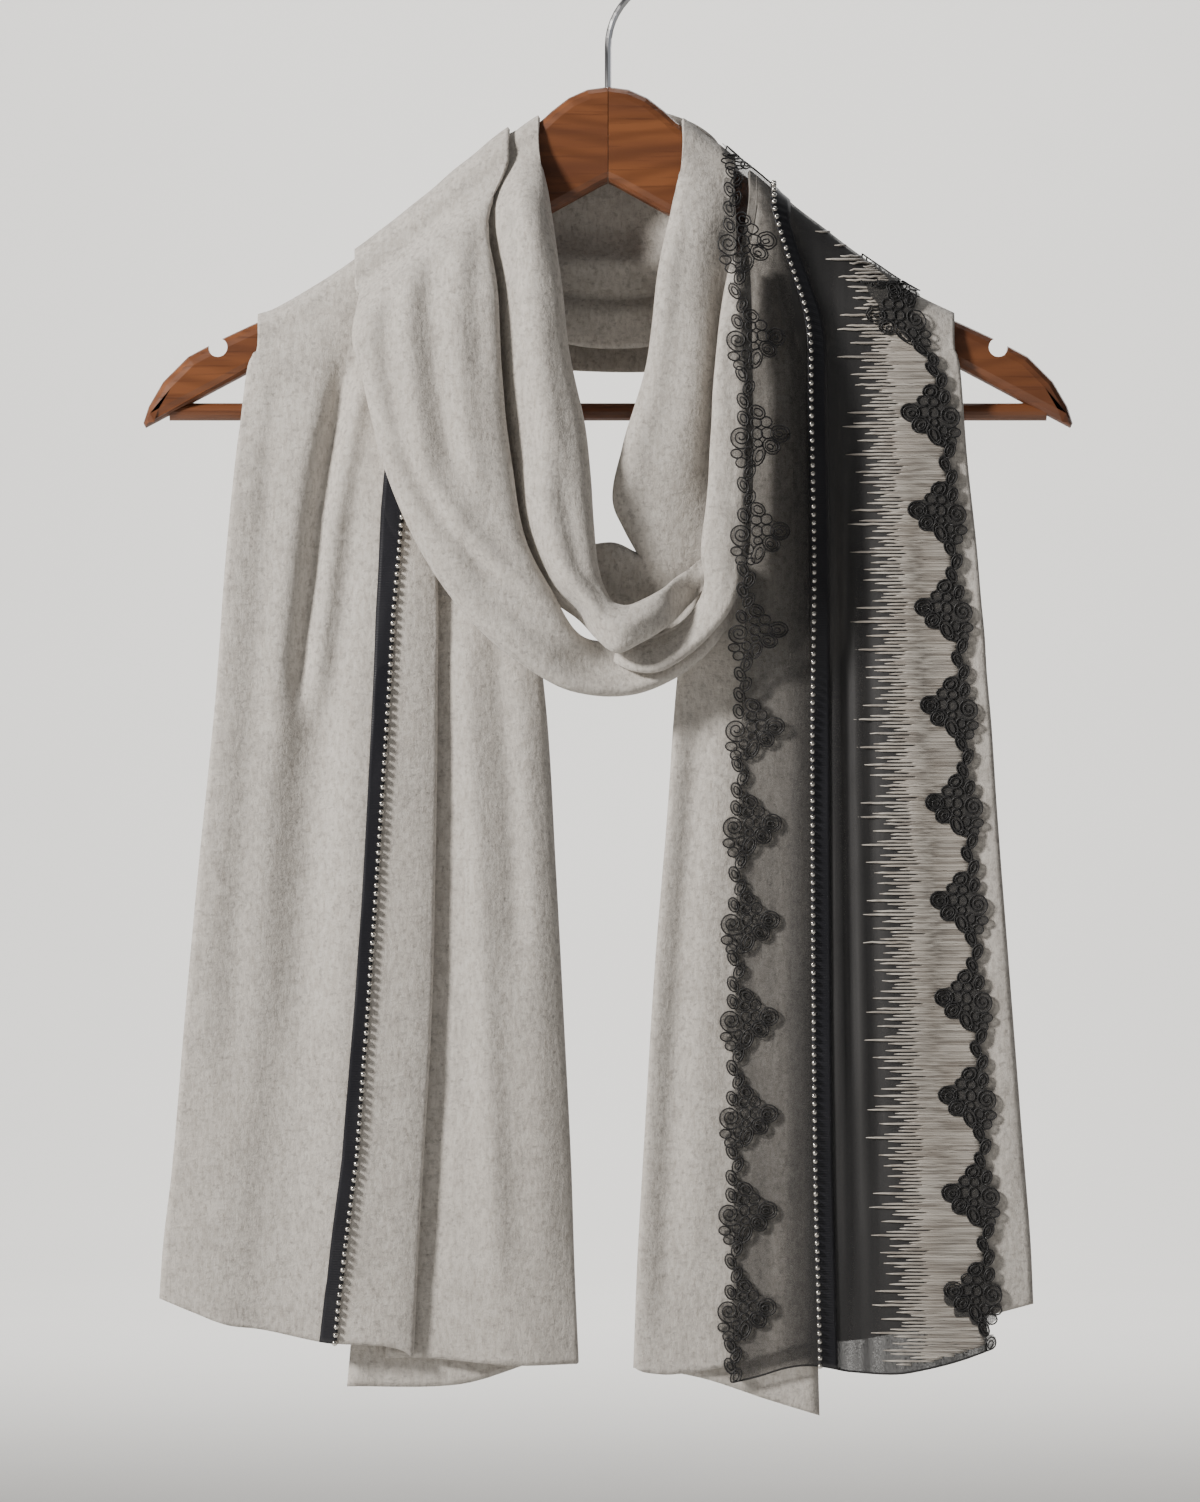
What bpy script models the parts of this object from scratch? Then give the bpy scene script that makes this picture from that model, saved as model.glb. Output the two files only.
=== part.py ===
# Wool scarf looped on a wooden hanger. Metres, +Z up, the front faces -Y.
# The origin is where the inner top of the hook's curve rests on a rail.
import math

import bmesh
import bpy
from mathutils import Vector

for old in list(bpy.data.objects):
    bpy.data.objects.remove(old, do_unlink=True)

MM = 0.001
SEAM = 0.3                  # gap between neighbouring pieces, mm
WALL = 1.8                  # thickness of the felted wool
SHEER_WALL = 1.0            # sheer overlay, lace and ribbons
LAYER = 3.2                 # from one layer of a folded tail to the next

# Hanger
BOARD_HALF = 7.0            # half of the board's thickness
BOARD_ROUND = 5.0           # rounding of the board's long edges
NECK_TOP = -76.5            # top of the board, at the hook
WIRE_RADIUS = 1.6
HOOK_INNER = 17.0
BAR_RADIUS = 4.25
BAR_HEIGHT = -233.5
BAR_HALF_LENGTH = 212.0
NOTCH_CENTRE = (188.5, -202.5)
NOTCH_RADIUS = 4.7
STEM_DEPTH = 24.0           # how far the wire reaches into the wood

# Upper edge of the board: distance from the middle, height
BOARD_EDGE = (
    (0, NECK_TOP), (10, -77.8), (19, -81.8), (27, -88.0), (33, -93.5), (46, -103.0),
    (64, -117.5), (88, -138.0), (122, -163.5), (155, -184.0), (172, -191.5),
)

# Cloth over the arms: the mid-surface runs on a curve of this radius about the board's top
DRAPE_RADIUS = 9.4
SLOPE_STRETCH = 1.22        # a section across a sloping arm is this much taller
FRONT = 9.4                 # innermost cloth in front of the board, as depth

parts = bpy.data.collections.new("wool_scarf_on_hanger")
cutters = bpy.data.collections.new("cutters")
bpy.context.scene.collection.children.link(parts)
bpy.context.scene.collection.children.link(cutters)


def material(name, colour, roughness, metallic=0.0):
    made = bpy.data.materials.new(name)
    made.use_nodes = True
    shader = made.node_tree.nodes["Principled BSDF"]
    shader.inputs["Base Color"].default_value = (*colour, 1.0)
    shader.inputs["Roughness"].default_value = roughness
    shader.inputs["Metallic"].default_value = metallic
    return made


WOOL = material("wool", (0.60, 0.56, 0.52), 0.95)
SHEER = material("black_sheer", (0.02, 0.02, 0.022), 0.7)
LACE = material("black_lace", (0.012, 0.012, 0.014), 0.8)
SATIN = material("black_satin", (0.01, 0.01, 0.014), 0.35)
WOOD = material("brown_wood", (0.30, 0.11, 0.04), 0.42)
CHROME = material("chrome_wire", (0.75, 0.75, 0.77), 0.15, 1.0)


def mix(a, b, t):
    return a + (b - a) * t


def smooth_step(t):
    t = min(1.0, max(0.0, t))
    return t * t * (3.0 - 2.0 * t)


def curve_through(points, steps):
    """Points on a smooth curve through the given ones, with so many steps from each to the next."""
    points = [Vector(p) for p in points]
    ends = [points[0] * 2 - points[1]] + points + [points[-1] * 2 - points[-2]]
    found = []
    for k in range(len(points) - 1):
        a, b, c, d = ends[k : k + 4]
        for step in range(steps):
            t = step / steps
            square = (2 * a - 5 * b + 4 * c - d) * t**2
            cube = (3 * b - a - 3 * c + d) * t**3
            found.append(0.5 * (2 * b + (c - a) * t + square + cube))
    found.append(points[-1])
    return found


def table_at(rows, place):
    """A row of numbers read from a table at a place in its first column, smoothly between its rows."""
    keys = [row[0] for row in rows]
    rising = keys[-1] > keys[0]
    if (place <= keys[0]) == rising:
        return list(rows[0][1:])
    if (place >= keys[-1]) == rising:
        return list(rows[-1][1:])
    k = 0
    while (keys[k + 1] < place) == rising:
        k += 1
    t = (place - keys[k]) / (keys[k + 1] - keys[k])
    before = rows[max(0, k - 1)]
    after = rows[min(len(rows) - 1, k + 2)]
    values = []
    for a, b, c, d in zip(before[1:], rows[k][1:], rows[k + 1][1:], after[1:]):
        slope_b = (c - a) / 2 if k > 0 else c - b
        slope_c = (d - b) / 2 if k + 2 < len(rows) else c - b
        if (b - a) * (c - b) <= 0 and k > 0:
            slope_b = 0.0
        if (c - b) * (d - c) <= 0 and k + 2 < len(rows):
            slope_c = 0.0
        h00 = 2 * t**3 - 3 * t**2 + 1
        h10 = t**3 - 2 * t**2 + t
        h01 = 3 * t**2 - 2 * t**3
        h11 = t**3 - t**2
        values.append(h00 * b + h10 * slope_b + h01 * c + h11 * slope_c)
    return values


def finish(name, mesh, look):
    thing = bpy.data.objects.new(name, mesh)
    mesh.materials.clear()
    mesh.materials.append(look)
    mesh.shade_smooth()
    mesh.set_sharp_from_angle(angle=math.radians(50))
    parts.objects.link(thing)
    return thing


def cloth(name, sections, along, wall, look):
    """A cloth wall through sections, each a row of (x, depth, z) in mm with depth towards the front."""
    columns = [curve_through([section[k] for section in sections], along) for k in range(len(sections[0]))]
    mesh = bpy.data.meshes.new(name)
    shape = bmesh.new()
    grid = [[shape.verts.new((p.x * MM, -p.y * MM, p.z * MM)) for p in column] for column in columns]
    for i in range(len(grid) - 1):
        for j in range(len(grid[0]) - 1):
            shape.faces.new((grid[i][j], grid[i + 1][j], grid[i + 1][j + 1], grid[i][j + 1]))
    shape.to_mesh(mesh)
    shape.free()
    thing = finish(name, mesh, look)
    solid = thing.modifiers.new("wall", "SOLIDIFY")
    solid.thickness = wall * MM
    solid.offset = 0.0
    solid.use_rim = True
    return thing


# Hanger


def arm_top(x):
    """Height of the hanger's upper edge at a distance from its middle, for the cloth that lies on it."""
    return table_at(BOARD_EDGE, abs(x))[0]


def board_half_outline():
    end = [(188, -199), (203, -207), (215, -219), (222, -231), (224.6, -239)]
    under = [(223.5, -241.3), (174, -215), (27, -137.5), (3, -124.3)]
    return list(BOARD_EDGE) + end + under


def board_mesh():
    right = board_half_outline()
    outline = right + [(0, -123.0)] + [(-x, z) for x, z in reversed(right[1:])]
    curve = bpy.data.curves.new("board_outline", "CURVE")
    curve.dimensions = "2D"
    curve.fill_mode = "BOTH"
    curve.extrude = (BOARD_HALF - BOARD_ROUND) * MM
    curve.bevel_depth = BOARD_ROUND * MM
    curve.bevel_resolution = 2
    curve.offset = -BOARD_ROUND * MM
    spline = curve.splines.new("POLY")
    spline.points.add(len(outline) - 1)
    for point, (x, z) in zip(spline.points, outline):
        point.co = (x * MM, z * MM, 0.0, 1.0)
    spline.use_cyclic_u = True
    thing = bpy.data.objects.new("board_outline", curve)
    thing.rotation_euler = (math.pi / 2, 0.0, 0.0)
    parts.objects.link(thing)
    bpy.context.view_layer.update()
    mesh = bpy.data.meshes.new_from_object(thing.evaluated_get(bpy.context.evaluated_depsgraph_get()))
    mesh.transform(thing.matrix_world)
    bpy.data.objects.remove(thing, do_unlink=True)
    return mesh


def cylinder(name, radius, length, place, rotation, sides):
    bpy.ops.mesh.primitive_cylinder_add(vertices=sides, radius=radius * MM, depth=length * MM)
    thing = bpy.context.object
    thing.name = name
    thing.location = [value * MM for value in place]
    thing.rotation_euler = rotation
    for held in list(thing.users_collection):
        held.objects.unlink(thing)
    return thing


def cutter(name, radius, length, place, rotation, sides=20):
    thing = cylinder(name, radius, length, place, rotation, sides)
    thing.hide_render = True
    thing.display_type = "WIRE"
    cutters.objects.link(thing)
    return thing


def hanger_arm(side, whole, cuts):
    """One half of the board, up to the joint in its middle."""
    name = "hanger_arm_right" if side > 0 else "hanger_arm_left"
    mesh = bpy.data.meshes.new(name)
    shape = bmesh.new()
    shape.from_mesh(whole)
    bmesh.ops.remove_doubles(shape, verts=shape.verts, dist=0.00005)
    everything = shape.verts[:] + shape.edges[:] + shape.faces[:]
    joint = Vector((side * SEAM / 2 * MM, 0.0, 0.0))
    outwards = Vector((-side, 0, 0))
    bmesh.ops.bisect_plane(
        shape, geom=everything, dist=0.000001, plane_co=joint, plane_no=outwards, clear_outer=True
    )
    open_edges = [edge for edge in shape.edges if edge.is_boundary]
    bmesh.ops.contextual_create(shape, geom=open_edges)
    bmesh.ops.recalc_face_normals(shape, faces=shape.faces)
    shape.to_mesh(mesh)
    shape.free()
    thing = finish(name, mesh, WOOD)
    for cut in cuts:
        hollow = thing.modifiers.new(cut.name, "BOOLEAN")
        hollow.operation = "DIFFERENCE"
        hollow.object = cut
    return thing


def hanger():
    lying = (0.0, math.pi / 2, 0.0)
    facing = (math.pi / 2, 0.0, 0.0)
    whole = board_mesh()
    stem = cutter("stem_hole", WIRE_RADIUS + SEAM, STEM_DEPTH * 2, (0, 0, NECK_TOP), (0.0, 0.0, 0.0))
    for side in (-1, 1):
        notch_place = (side * NOTCH_CENTRE[0], 0, NOTCH_CENTRE[1])
        notch = cutter(f"notch_{side}", NOTCH_RADIUS, BOARD_HALF * 4, notch_place, facing)
        bar_place = (side * (BAR_HALF_LENGTH - 30), 0, BAR_HEIGHT)
        bar_hole = cutter(f"bar_hole_{side}", BAR_RADIUS + SEAM, 60 + 2 * SEAM, bar_place, lying)
        hanger_arm(side, whole, (stem, notch, bar_hole))
    bar = cylinder("trouser_bar", BAR_RADIUS, BAR_HALF_LENGTH * 2, (0, 0, BAR_HEIGHT), lying, 16)
    bar.data.materials.append(WOOD)
    bar.data.shade_smooth()
    bar.data.set_sharp_from_angle(angle=math.radians(50))
    parts.objects.link(bar)


def hook():
    """A wire hook like a question mark, open to the left, its stem in the wood's joint."""
    radius = HOOK_INNER + WIRE_RADIUS
    centre_z = -HOOK_INNER
    start, stop = math.radians(205), math.radians(-50)
    points = []
    for step in range(23):
        angle = mix(start, stop, step / 22)
        points.append((radius * math.cos(angle), centre_z + radius * math.sin(angle)))
    reach = points[-1][0]
    bend = reach / (1.0 - math.cos(stop))
    low = points[-1][1] + bend * math.sin(stop)
    for step in range(1, 8):
        angle = mix(stop, 0.0, step / 7)
        points.append((bend * (1.0 - math.cos(angle)), low - bend * math.sin(angle)))
    points += [(0.0, low - 8), (0.0, NECK_TOP - STEM_DEPTH + 2 * SEAM)]
    curve = bpy.data.curves.new("hook", "CURVE")
    curve.dimensions = "3D"
    curve.bevel_depth = WIRE_RADIUS * MM
    curve.bevel_resolution = 2
    curve.use_fill_caps = True
    spline = curve.splines.new("POLY")
    spline.points.add(len(points) - 1)
    for point, (x, z) in zip(spline.points, points):
        point.co = (x * MM, 0.0, z * MM, 1.0)
    curve.materials.append(CHROME)
    parts.objects.link(bpy.data.objects.new("hook", curve))


# Cloth lying over an arm

SHOULDER_ANGLES = (-15, 25, 60, 90)     # degrees about the board's top, 0 at the top, + to the front
BACK_ANGLES = (-20, -55, -90)           # where the stretches behind the neck start
TAIL_LIFT = 0.7                         # height of a tail over the innermost cloth
WRAP_LIFT = 4.8                         # the wraps lie over the left tail


def over_arm(x, angle, lift):
    """A point of cloth that lies over the arm, as (x, depth, z)."""
    radius = DRAPE_RADIUS + lift
    turn = math.radians(angle)
    height = arm_top(x) + SLOPE_STRETCH * (radius * math.cos(turn) - BOARD_HALF)
    return (x, radius * math.sin(turn), height)


# Tails


def hairpin(x, near, far, lap, side, way):
    """Five points of a fold at x that turns from depth near to depth far; lap 1 is closed, -1 is opened flat.

    The closed fold points to the given side; the opened one runs on in the given way."""
    middle = (near + far) / 2
    radius = (near - far) / 2
    points = []
    for k in range(5):
        turn = math.radians(90 - 45 * k)
        closed = (x + side * (radius * math.cos(turn) - radius), middle + radius * math.sin(turn))
        opened = (x + way * 1.8 * (k - 2), mix(near, far, k / 4))
        t = (lap + 1) / 2
        points.append((mix(opened[0], closed[0], t), mix(opened[1], closed[1], t)))
    return points


# Heights of the left tail's sections, with its outlines and folds at each: the left edge, the soft
# trough in the front panel and its depth, the front fold, the right fold, the back layer's end,
# how far the layers stand apart and how far they lap
LEFT_TAIL = (
    (-215, -174, -120, 2.5, -99, -58, -58, 0.55, -1.0),
    (-255, -179, -129, 4.0, -91, -50, -50, 1.00, -0.8),
    (-300, -183.5, -136, 4.0, -84, -41, -70, 1.00, 1.0),
    (-374, -189, -147, 3.0, -83, -31, -78, 1.00, 1.0),
    (-454, -197, -150, 2.0, -84, -26, -92, 1.00, 1.0),
    (-530, -204, -156, 1.5, -86, -22, -104, 1.00, 1.0),
    (-600, -210, -161, 1.2, -90, -18.5, -114, 1.00, 1.0),
    (-645, -214, -165, 1.0, -92.5, -17, -121, 1.00, 1.0),
    (-688, -216, -167, 1.0, -94.5, -15, -126, 1.00, 1.0),
)
LEFT_SHOULDER = (-169, -116, 1.0, -104, -66, -58, 0.0, -1.0)
LAP = 12.0                              # width of the tuck behind the front fold
LEFT_HEM = (27, 20, 14, 12, 6, 0, -1, -1, -1, -1, -1, -1, -2, -2, -2, -2, -5.5, -5, -5, -4, -3, -2, -15, -16)
HEM_START = -610                        # the hem's own line grows in from here
TUCKED_BULGE = 5.0                      # the second panel swells forward beside the tuck


def left_profile(left, trough, dip, fold, right, back_end, apart, lap):
    """The left tail's section as (x, depth), from the left edge to the back layer's end."""
    base = FRONT + TAIL_LIFT
    steps = [base + LAYER * apart * k for k in (3, 2, 1, 0)]
    front, tuck_depth, second, back = steps
    width = fold - left
    tuck = fold - LAP * lap
    end = mix(right + 10, back_end, max(0.0, lap))
    rise = apart
    points = [(left, front - 1.0 * rise), (left + 0.14 * width, front + 0.6 * rise)]
    points += [(mix(left, trough, 0.68), front + 0.8 * rise), (trough, front - dip * rise)]
    points += [(mix(trough, fold, 0.4), front + 0.8 * rise)]
    points += hairpin(fold, front, tuck_depth, lap, 1, 1)
    points += hairpin(tuck, tuck_depth, second, lap, -1, 1)
    points += [(fold + mix(20, 7, (lap + 1) / 2), second + 0.4 * rise)]
    points += [(mix(fold, right, 0.62), second + TUCKED_BULGE * rise)]
    points += hairpin(right, second, back, lap, 1, 1)
    points += [(mix(points[-1][0], end, 0.5), back), (end, back)]
    return points


def hanging(profile, height, hem):
    """A section at one height; near the end each point takes its own place on the hem."""
    share = smooth_step((HEM_START - height) / 78)
    return [(x, depth, height + share * drop) for (x, depth), drop in zip(profile, hem)]


def shoulder_rows(profile, lift):
    """Sections over the arm: each point keeps its height over the innermost cloth."""
    rows = []
    for angle in SHOULDER_ANGLES:
        rows.append([over_arm(x, angle, lift + depth - FRONT - TAIL_LIFT) for x, depth in profile])
    return rows


def easing(arm_row, hanging_row):
    """A section between the arm, where it slopes, and the first level one."""
    return [tuple(mix(a, b, 0.5) for a, b in zip(p, q)) for p, q in zip(arm_row, hanging_row)]


def left_tail_sections():
    rows = shoulder_rows(left_profile(*LEFT_SHOULDER), TAIL_LIFT)
    level = [hanging(left_profile(*row[1:]), row[0], LEFT_HEM) for row in LEFT_TAIL]
    return rows + [easing(rows[-1], level[0])] + level


# Heights of the right tail's sections: the right edge, the left fold, the back layer's end, layers
# apart, lap
RIGHT_TAIL = (
    (-215, 170, 62, 52, 0.5, -1.0),
    (-255, 173, 52, 52, 1.0, -0.3),
    (-302, 178, 42, 75, 1.0, 0.7),
    (-326, 180, 38.5, 78, 1.0, 0.9),
    (-342, 181.5, 36.5, 79, 1.0, 0.95),
    (-359, 182.5, 34.5, 80, 1.0, 1.0),
    (-382, 184.5, 32.5, 81.5, 1.0, 1.0),
    (-420, 187, 30, 84, 1.0, 1.0),
    (-500, 193, 23.5, 90, 1.0, 1.0),
    (-590, 200, 18, 97, 1.0, 1.0),
    (-640, 203.5, 15, 100, 1.0, 1.0),
    (-688, 205, 13, 102, 1.0, 1.0),
)
RIGHT_SHOULDER = (167, 78, 68, 0.0, -1.0)
RIGHT_HEM = (24, 17, 12, 7, 4, -4, -9, -10, -8, -7, -7, -7, -7, -12, -22, -30)
PANEL_WAVES = (-1.0, 0.8, 1.5, -1.5, 1.0, 0.4, -0.4)    # swell of the front panel, from the right edge


def right_profile(right, left, back_end, apart, lap):
    """The right tail's section as (x, depth), from the right edge round the left fold to the back's end."""
    back = FRONT + TAIL_LIFT
    front = back + LAYER * apart
    end = mix(left - 10, back_end, max(0.0, lap))
    points = []
    for k, wave in enumerate(PANEL_WAVES):
        share = k / len(PANEL_WAVES)
        points.append((mix(right, left, share), front + wave * apart))
    points += [(mix(right, left, 0.94), front)]
    points += hairpin(left, front, back, lap, -1, -1)
    points += [(mix(points[-1][0], end, share), back) for share in (0.35, 0.7, 1.0)]
    return points


def right_tail_sections():
    rows = shoulder_rows(right_profile(*RIGHT_SHOULDER), TAIL_LIFT)
    level = [hanging(right_profile(*row[1:]), row[0], RIGHT_HEM) for row in RIGHT_TAIL]
    return rows + [easing(rows[-1], level[0])] + level


# The loop in front

# Places across a band, flat and with its edges rolled under, from its outer edge to its inner one
FLAT = (0.0, 0.04, 0.08, 0.13, 0.2, 0.35, 0.5, 0.65, 0.8, 0.87, 0.92, 0.96, 1.0)
ROLLED = (0.24, 0.10, 0.015, 0.0, 0.07, 0.28, 0.5, 0.72, 0.93, 1.0, 0.985, 0.90, 0.76)
# How much of the way each of those places stands from the band's back to its front
FLAT_STAND = (0.0, 0.03, 0.08, 0.2, 0.45, 0.85, 1.0, 0.85, 0.45, 0.2, 0.08, 0.03, 0.0)
ROLLED_STAND = (0.0, 0.0, 0.3, 0.7, 1.0, 1.0, 1.0, 1.0, 1.0, 0.7, 0.3, 0.0, 0.0)


def band_section(outer, inner, depths, rolled_out, rolled_in):
    back_out, front_out, front_middle, front_in, back_in = depths
    points = []
    for k in range(len(FLAT)):
        rolled = rolled_out if k < 6 else rolled_in
        share = mix(FLAT[k], ROLLED[k], rolled)
        stand = mix(FLAT_STAND[k], ROLLED_STAND[k], rolled)
        fronts = ((0.0, front_out), (0.5, front_middle), (1.0, front_in))
        front = table_at(fronts, max(0.0, min(1.0, share)))[0]
        back = back_out if k < 6 else back_in
        x, z = (mix(outer[axis], inner[axis], share) for axis in (0, 1))
        points.append((x, mix(back, front, stand), z))
    return points


def band_sections(table, shoulder=None):
    """Sections of a band of the loop; shoulder gives its outer and inner edge over the arm and its lift."""
    rows = []
    if shoulder:
        outer, inner, lift = shoulder
        for angle in SHOULDER_ANGLES:
            rows.append([over_arm(mix(outer, inner, share), angle, lift) for share in FLAT])
    for out_x, out_z, in_x, in_z, *rest in table:
        rows.append(band_section((out_x, out_z), (in_x, in_z), rest[:5], rest[5], rest[6]))
    return rows


# Each row: outer edge x, z; inner edge x, z; depths at the outer roll's back, its front, the middle,
# the inner front and the inner back; how far the outer and the inner edge are rolled under
OUTER_WRAP = (
    (-123.5, -184, -55, -140, 21, 26, 29, 29, 23.5, 0.4, 0.4),
    (-122, -200, -54, -176, 23.5, 34, 37, 37, 28, 1, 1),
    (-118, -215, -52, -208, 24.5, 36, 40, 39, 30, 1, 1),
    (-106, -263, -48, -252, 26, 38, 42, 41, 31, 1, 1),
    (-88, -303.5, -40, -297, 26.5, 39, 43, 42, 32, 1, 1),
    (-68, -332, -28, -321, 26.5, 38, 42, 41, 32, 1, 1),
    (-43, -354, -14, -341.5, 26, 37, 39, 36, 28, 1, 0.8),
    (-15, -368.5, 3, -345, 25, 36, 31, 26, 23, 1, 0),
    (10, -370, 14, -346, 23, 34, 28.5, 25, 22, 1, 0),
    (33, -361, 25, -340, 21, 32, 27.5, 24, 21, 1, 0),
    (57, -337, 42, -322, 19, 28, 26, 22, 19, 1, 0),
    (67, -313, 52, -298, 18.5, 23, 24, 21, 18.5, 0.6, 0),
)
INNER_WRAP = (
    (-58, -138, -28, -128, 17, 25, 29, 26, 18, 0, 0.4),
    (-58, -174, -24, -168, 18, 30, 37, 33, 19, 0, 1),
    (-56.5, -209, -20, -203, 19, 31, 40, 35, 20, 0, 1),
    (-52.5, -254, -11, -247, 20, 32, 43, 37, 22, 0, 1),
    (-44.5, -300, -7.5, -290, 21, 34, 46, 40, 25, 0, 1),
    (-31, -321.5, -5.5, -309, 22, 37, 48, 42, 28, 0, 1),
    (-15.5, -333, -2.5, -319, 24, 39, 49, 43, 30, 0, 1),
    (-5, -344, 2.5, -327, 33, 44, 50, 45, 32, 0.6, 1),
    (4, -349.5, 9, -328.5, 38.5, 48, 52, 45, 34, 1, 1),
    (15, -345, 17, -325.5, 38.5, 47, 50, 44, 34, 1, 1),
    (26, -338.5, 26, -320.5, 36, 43, 44, 40, 31, 1, 1),
    (35, -331, 34, -313, 27, 30, 31, 30, 26, 0.6, 0.6),
    (41, -325, 41, -308, 24, 25, 25.5, 25, 24, 0, 0),
    (50, -315, 50, -302, 24, 24.5, 25, 24.5, 24, 0, 0),
)
SIDE_STRIP = (
    (3, -355, 6, -341, 30, 31, 31, 30, 28, 0, 0),
    (10, -358, 11, -343, 32, 37, 35, 31, 28, 0.7, 0),
    (21, -359, 18, -343, 32, 40, 35, 31, 28, 1, 0),
    (36, -352, 29, -339.5, 31, 39, 35, 31, 28, 1, 0),
    (49, -340.5, 38.5, -332.5, 31, 39, 36, 32, 28.5, 1, 0),
    (60, -326, 46, -318, 31, 40, 40, 36, 30, 1, 0.6),
    (66, -308, 45, -302, 30, 39, 42, 39, 30, 1, 1),
    (68, -283, 47.5, -280, 29, 37, 41, 39, 30, 1, 1),
    (69, -245, 50, -242, 27, 35, 40, 38, 29.5, 1, 1),
    (68, -205, 53, -205, 24, 32, 36, 35, 27, 1, 1),
    (68, -176, 56.5, -177, 21, 26, 29, 28, 23, 0.8, 0.8),
    (67, -160, 60, -161, 20.5, 23.5, 25, 24, 21, 0.6, 0.6),
)
RIGHT_WRAP = (
    (62, -145, 29.4, -137.7, 14, 16, 19, 20, 12.5, 0, 0.5),
    (62, -172, 25, -165, 15, 17, 23, 24, 12.5, 0, 1),
    (62, -205, 21.7, -195.5, 16, 18, 27, 26, 13, 0, 1),
    (62, -235, 17.8, -216.7, 16, 18, 29, 27, 13.5, 0, 1),
    (60, -262, 7.7, -251.5, 16, 18, 27, 26, 14, 0, 1),
    (56, -290, 2.9, -278, 16, 17, 21, 22, 13.5, 0, 1),
    (49, -312, 8.5, -291, 16, 17, 19, 20.5, 13.5, 0, 1),
    (36, -325, 15, -303, 16, 17, 19, 20, 13, 0, 1),
    (19, -334, 12, -302, 16, 17, 19, 20, 13, 0, 1),
    (0, -335, 3, -298, 16, 17, 19, 20, 13, 0, 1),
    (-16, -326, -9, -297, 16, 17, 18, 18, 14, 0, 0.3),
)
OUTER_WRAP_SHOULDER = (-122, -48, WRAP_LIFT)
INNER_WRAP_SHOULDER = (-54, -33.5, TAIL_LIFT)
RIGHT_WRAP_SHOULDER = (61, 36, TAIL_LIFT)


# Behind the neck


def behind(table_row, profile):
    """A section behind the neck between its upper and lower edge; profile gives (share down, extra depth)."""
    top_x, top_z, low_x, low_z, distance, swell = table_row
    points = []
    for share, extra in profile:
        points.append((mix(top_x, low_x, share), -(distance + extra * swell), mix(top_z, low_z, share)))
    return points


# Upper edge x, z; lower edge x, z; distance behind the board's middle; share of the swell
OUTER_BACK = (
    (-30, -97, -98, -196, 21.5, 0.5),
    (-14, -86, -48, -209, 25.5, 1.0),
    (4, -84, 5, -213, 27.0, 1.0),
    (24, -86, 62, -210, 25.5, 1.0),
    (50, -99, 122, -200, 20, 0.5),
)
OUTER_SWELL = (
    (0, 0), (0.08, 1), (0.22, 2.5), (0.36, 3), (0.5, 2), (0.64, 2.5), (0.78, 3), (0.92, 1.5), (1, 0),
)
INNER_BACK = (
    (-38, -114, -76, -190, 11.5, 0.2),
    (-20, -102, -30, -198, 12.0, 0.9),
    (0, -99, 0, -202, 12.0, 1.0),
    (20, -101, 28, -198, 12.0, 0.9),
    (34, -106, 48, -182, 11.5, 0.2),
)
# The rolls that show through the neck opening: a hollow, a roll, a hollow, a roll
ROLLS = (
    (0, 0), (0.14, 2), (0.3, 4.5), (0.47, 6.5), (0.53, 3), (0.57, -0.5), (0.64, -2.2),
    (0.72, -1), (0.765, 3), (0.8, -0.5), (0.87, -2), (0.95, 0.5), (1, 3),
)


def back_sections(left, right, lifts, table, profile):
    """A stretch behind the neck; left and right give its upper and lower edge where it meets the arms."""
    shares = [share for share, swell in profile]
    rows = []
    for angle in BACK_ANGLES:
        row = []
        for share in shares:
            lift = mix(TAIL_LIFT, lifts[0], smooth_step((share - 0.15) / 0.12))
            row.append(over_arm(mix(*left, share), angle, lift))
        rows.append(row)
    rows += [behind(row, profile) for row in table]
    for angle in reversed(BACK_ANGLES):
        rows.append([over_arm(mix(*right, share), angle, lifts[1]) for share in shares])
    return rows


# What lies on the tails


def on_section(section, x, out):
    """The point of a tail's front at x, moved out of the cloth."""
    for a, b in zip(section, section[1:]):
        if min(a[0], b[0]) <= x <= max(a[0], b[0]) and a[0] != b[0]:
            t = (x - a[0]) / (b[0] - a[0])
            point = Vector(a).lerp(Vector(b), t)
            break
    else:
        point = Vector(min(section, key=lambda p: abs(p[0] - x)))
        point.x = x
    return point + out


def outward(row):
    """The way out of the cloth at a section: up over the arm, then to the front."""
    angle = SHOULDER_ANGLES[row] if row < len(SHOULDER_ANGLES) else 90
    turn = math.radians(angle)
    return Vector((0.0, math.sin(turn), SLOPE_STRETCH * math.cos(turn)))


OVER_CLOTH = WALL / 2 + 0.6 + SHEER_WALL / 2
OVER_SHEER = SHEER_WALL + 0.4          # from the overlay's middle to that of the lace on it
LIFTED_GAP = 1.2                        # more, where the overlay is lifted and bends
LIFTED_FROM = 1.5                       # full at this lift
# Height, x of the lace's chain on the left of the overlay, the beads, and the right lace's outer edge
OVERLAY = (
    (-120, 70, 79, 150),
    (-160, 64, 91, 158),
    (-189, 64, 96, 163),
    (-235, 66, 96.5, 171),
    (-290, 66, 97.5, 175),
    (-350, 65, 98, 179),
    (-470, 62, 98.5, 185),
    (-590, 61, 99.5, 190),
    (-700, 60, 102, 192.5),
)
# Height, and how far the loop under it lifts the overlay's left side
LOOP_LIFT = (
    (-120, 0.0), (-150, 12), (-176, 19), (-205, 25), (-245, 29), (-283, 30),
    (-308, 31), (-326, 27), (-345, 16), (-372, 4), (-400, 0),
)
LIFT_END = 52.0                         # the lift fades out this far right of the chain
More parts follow.
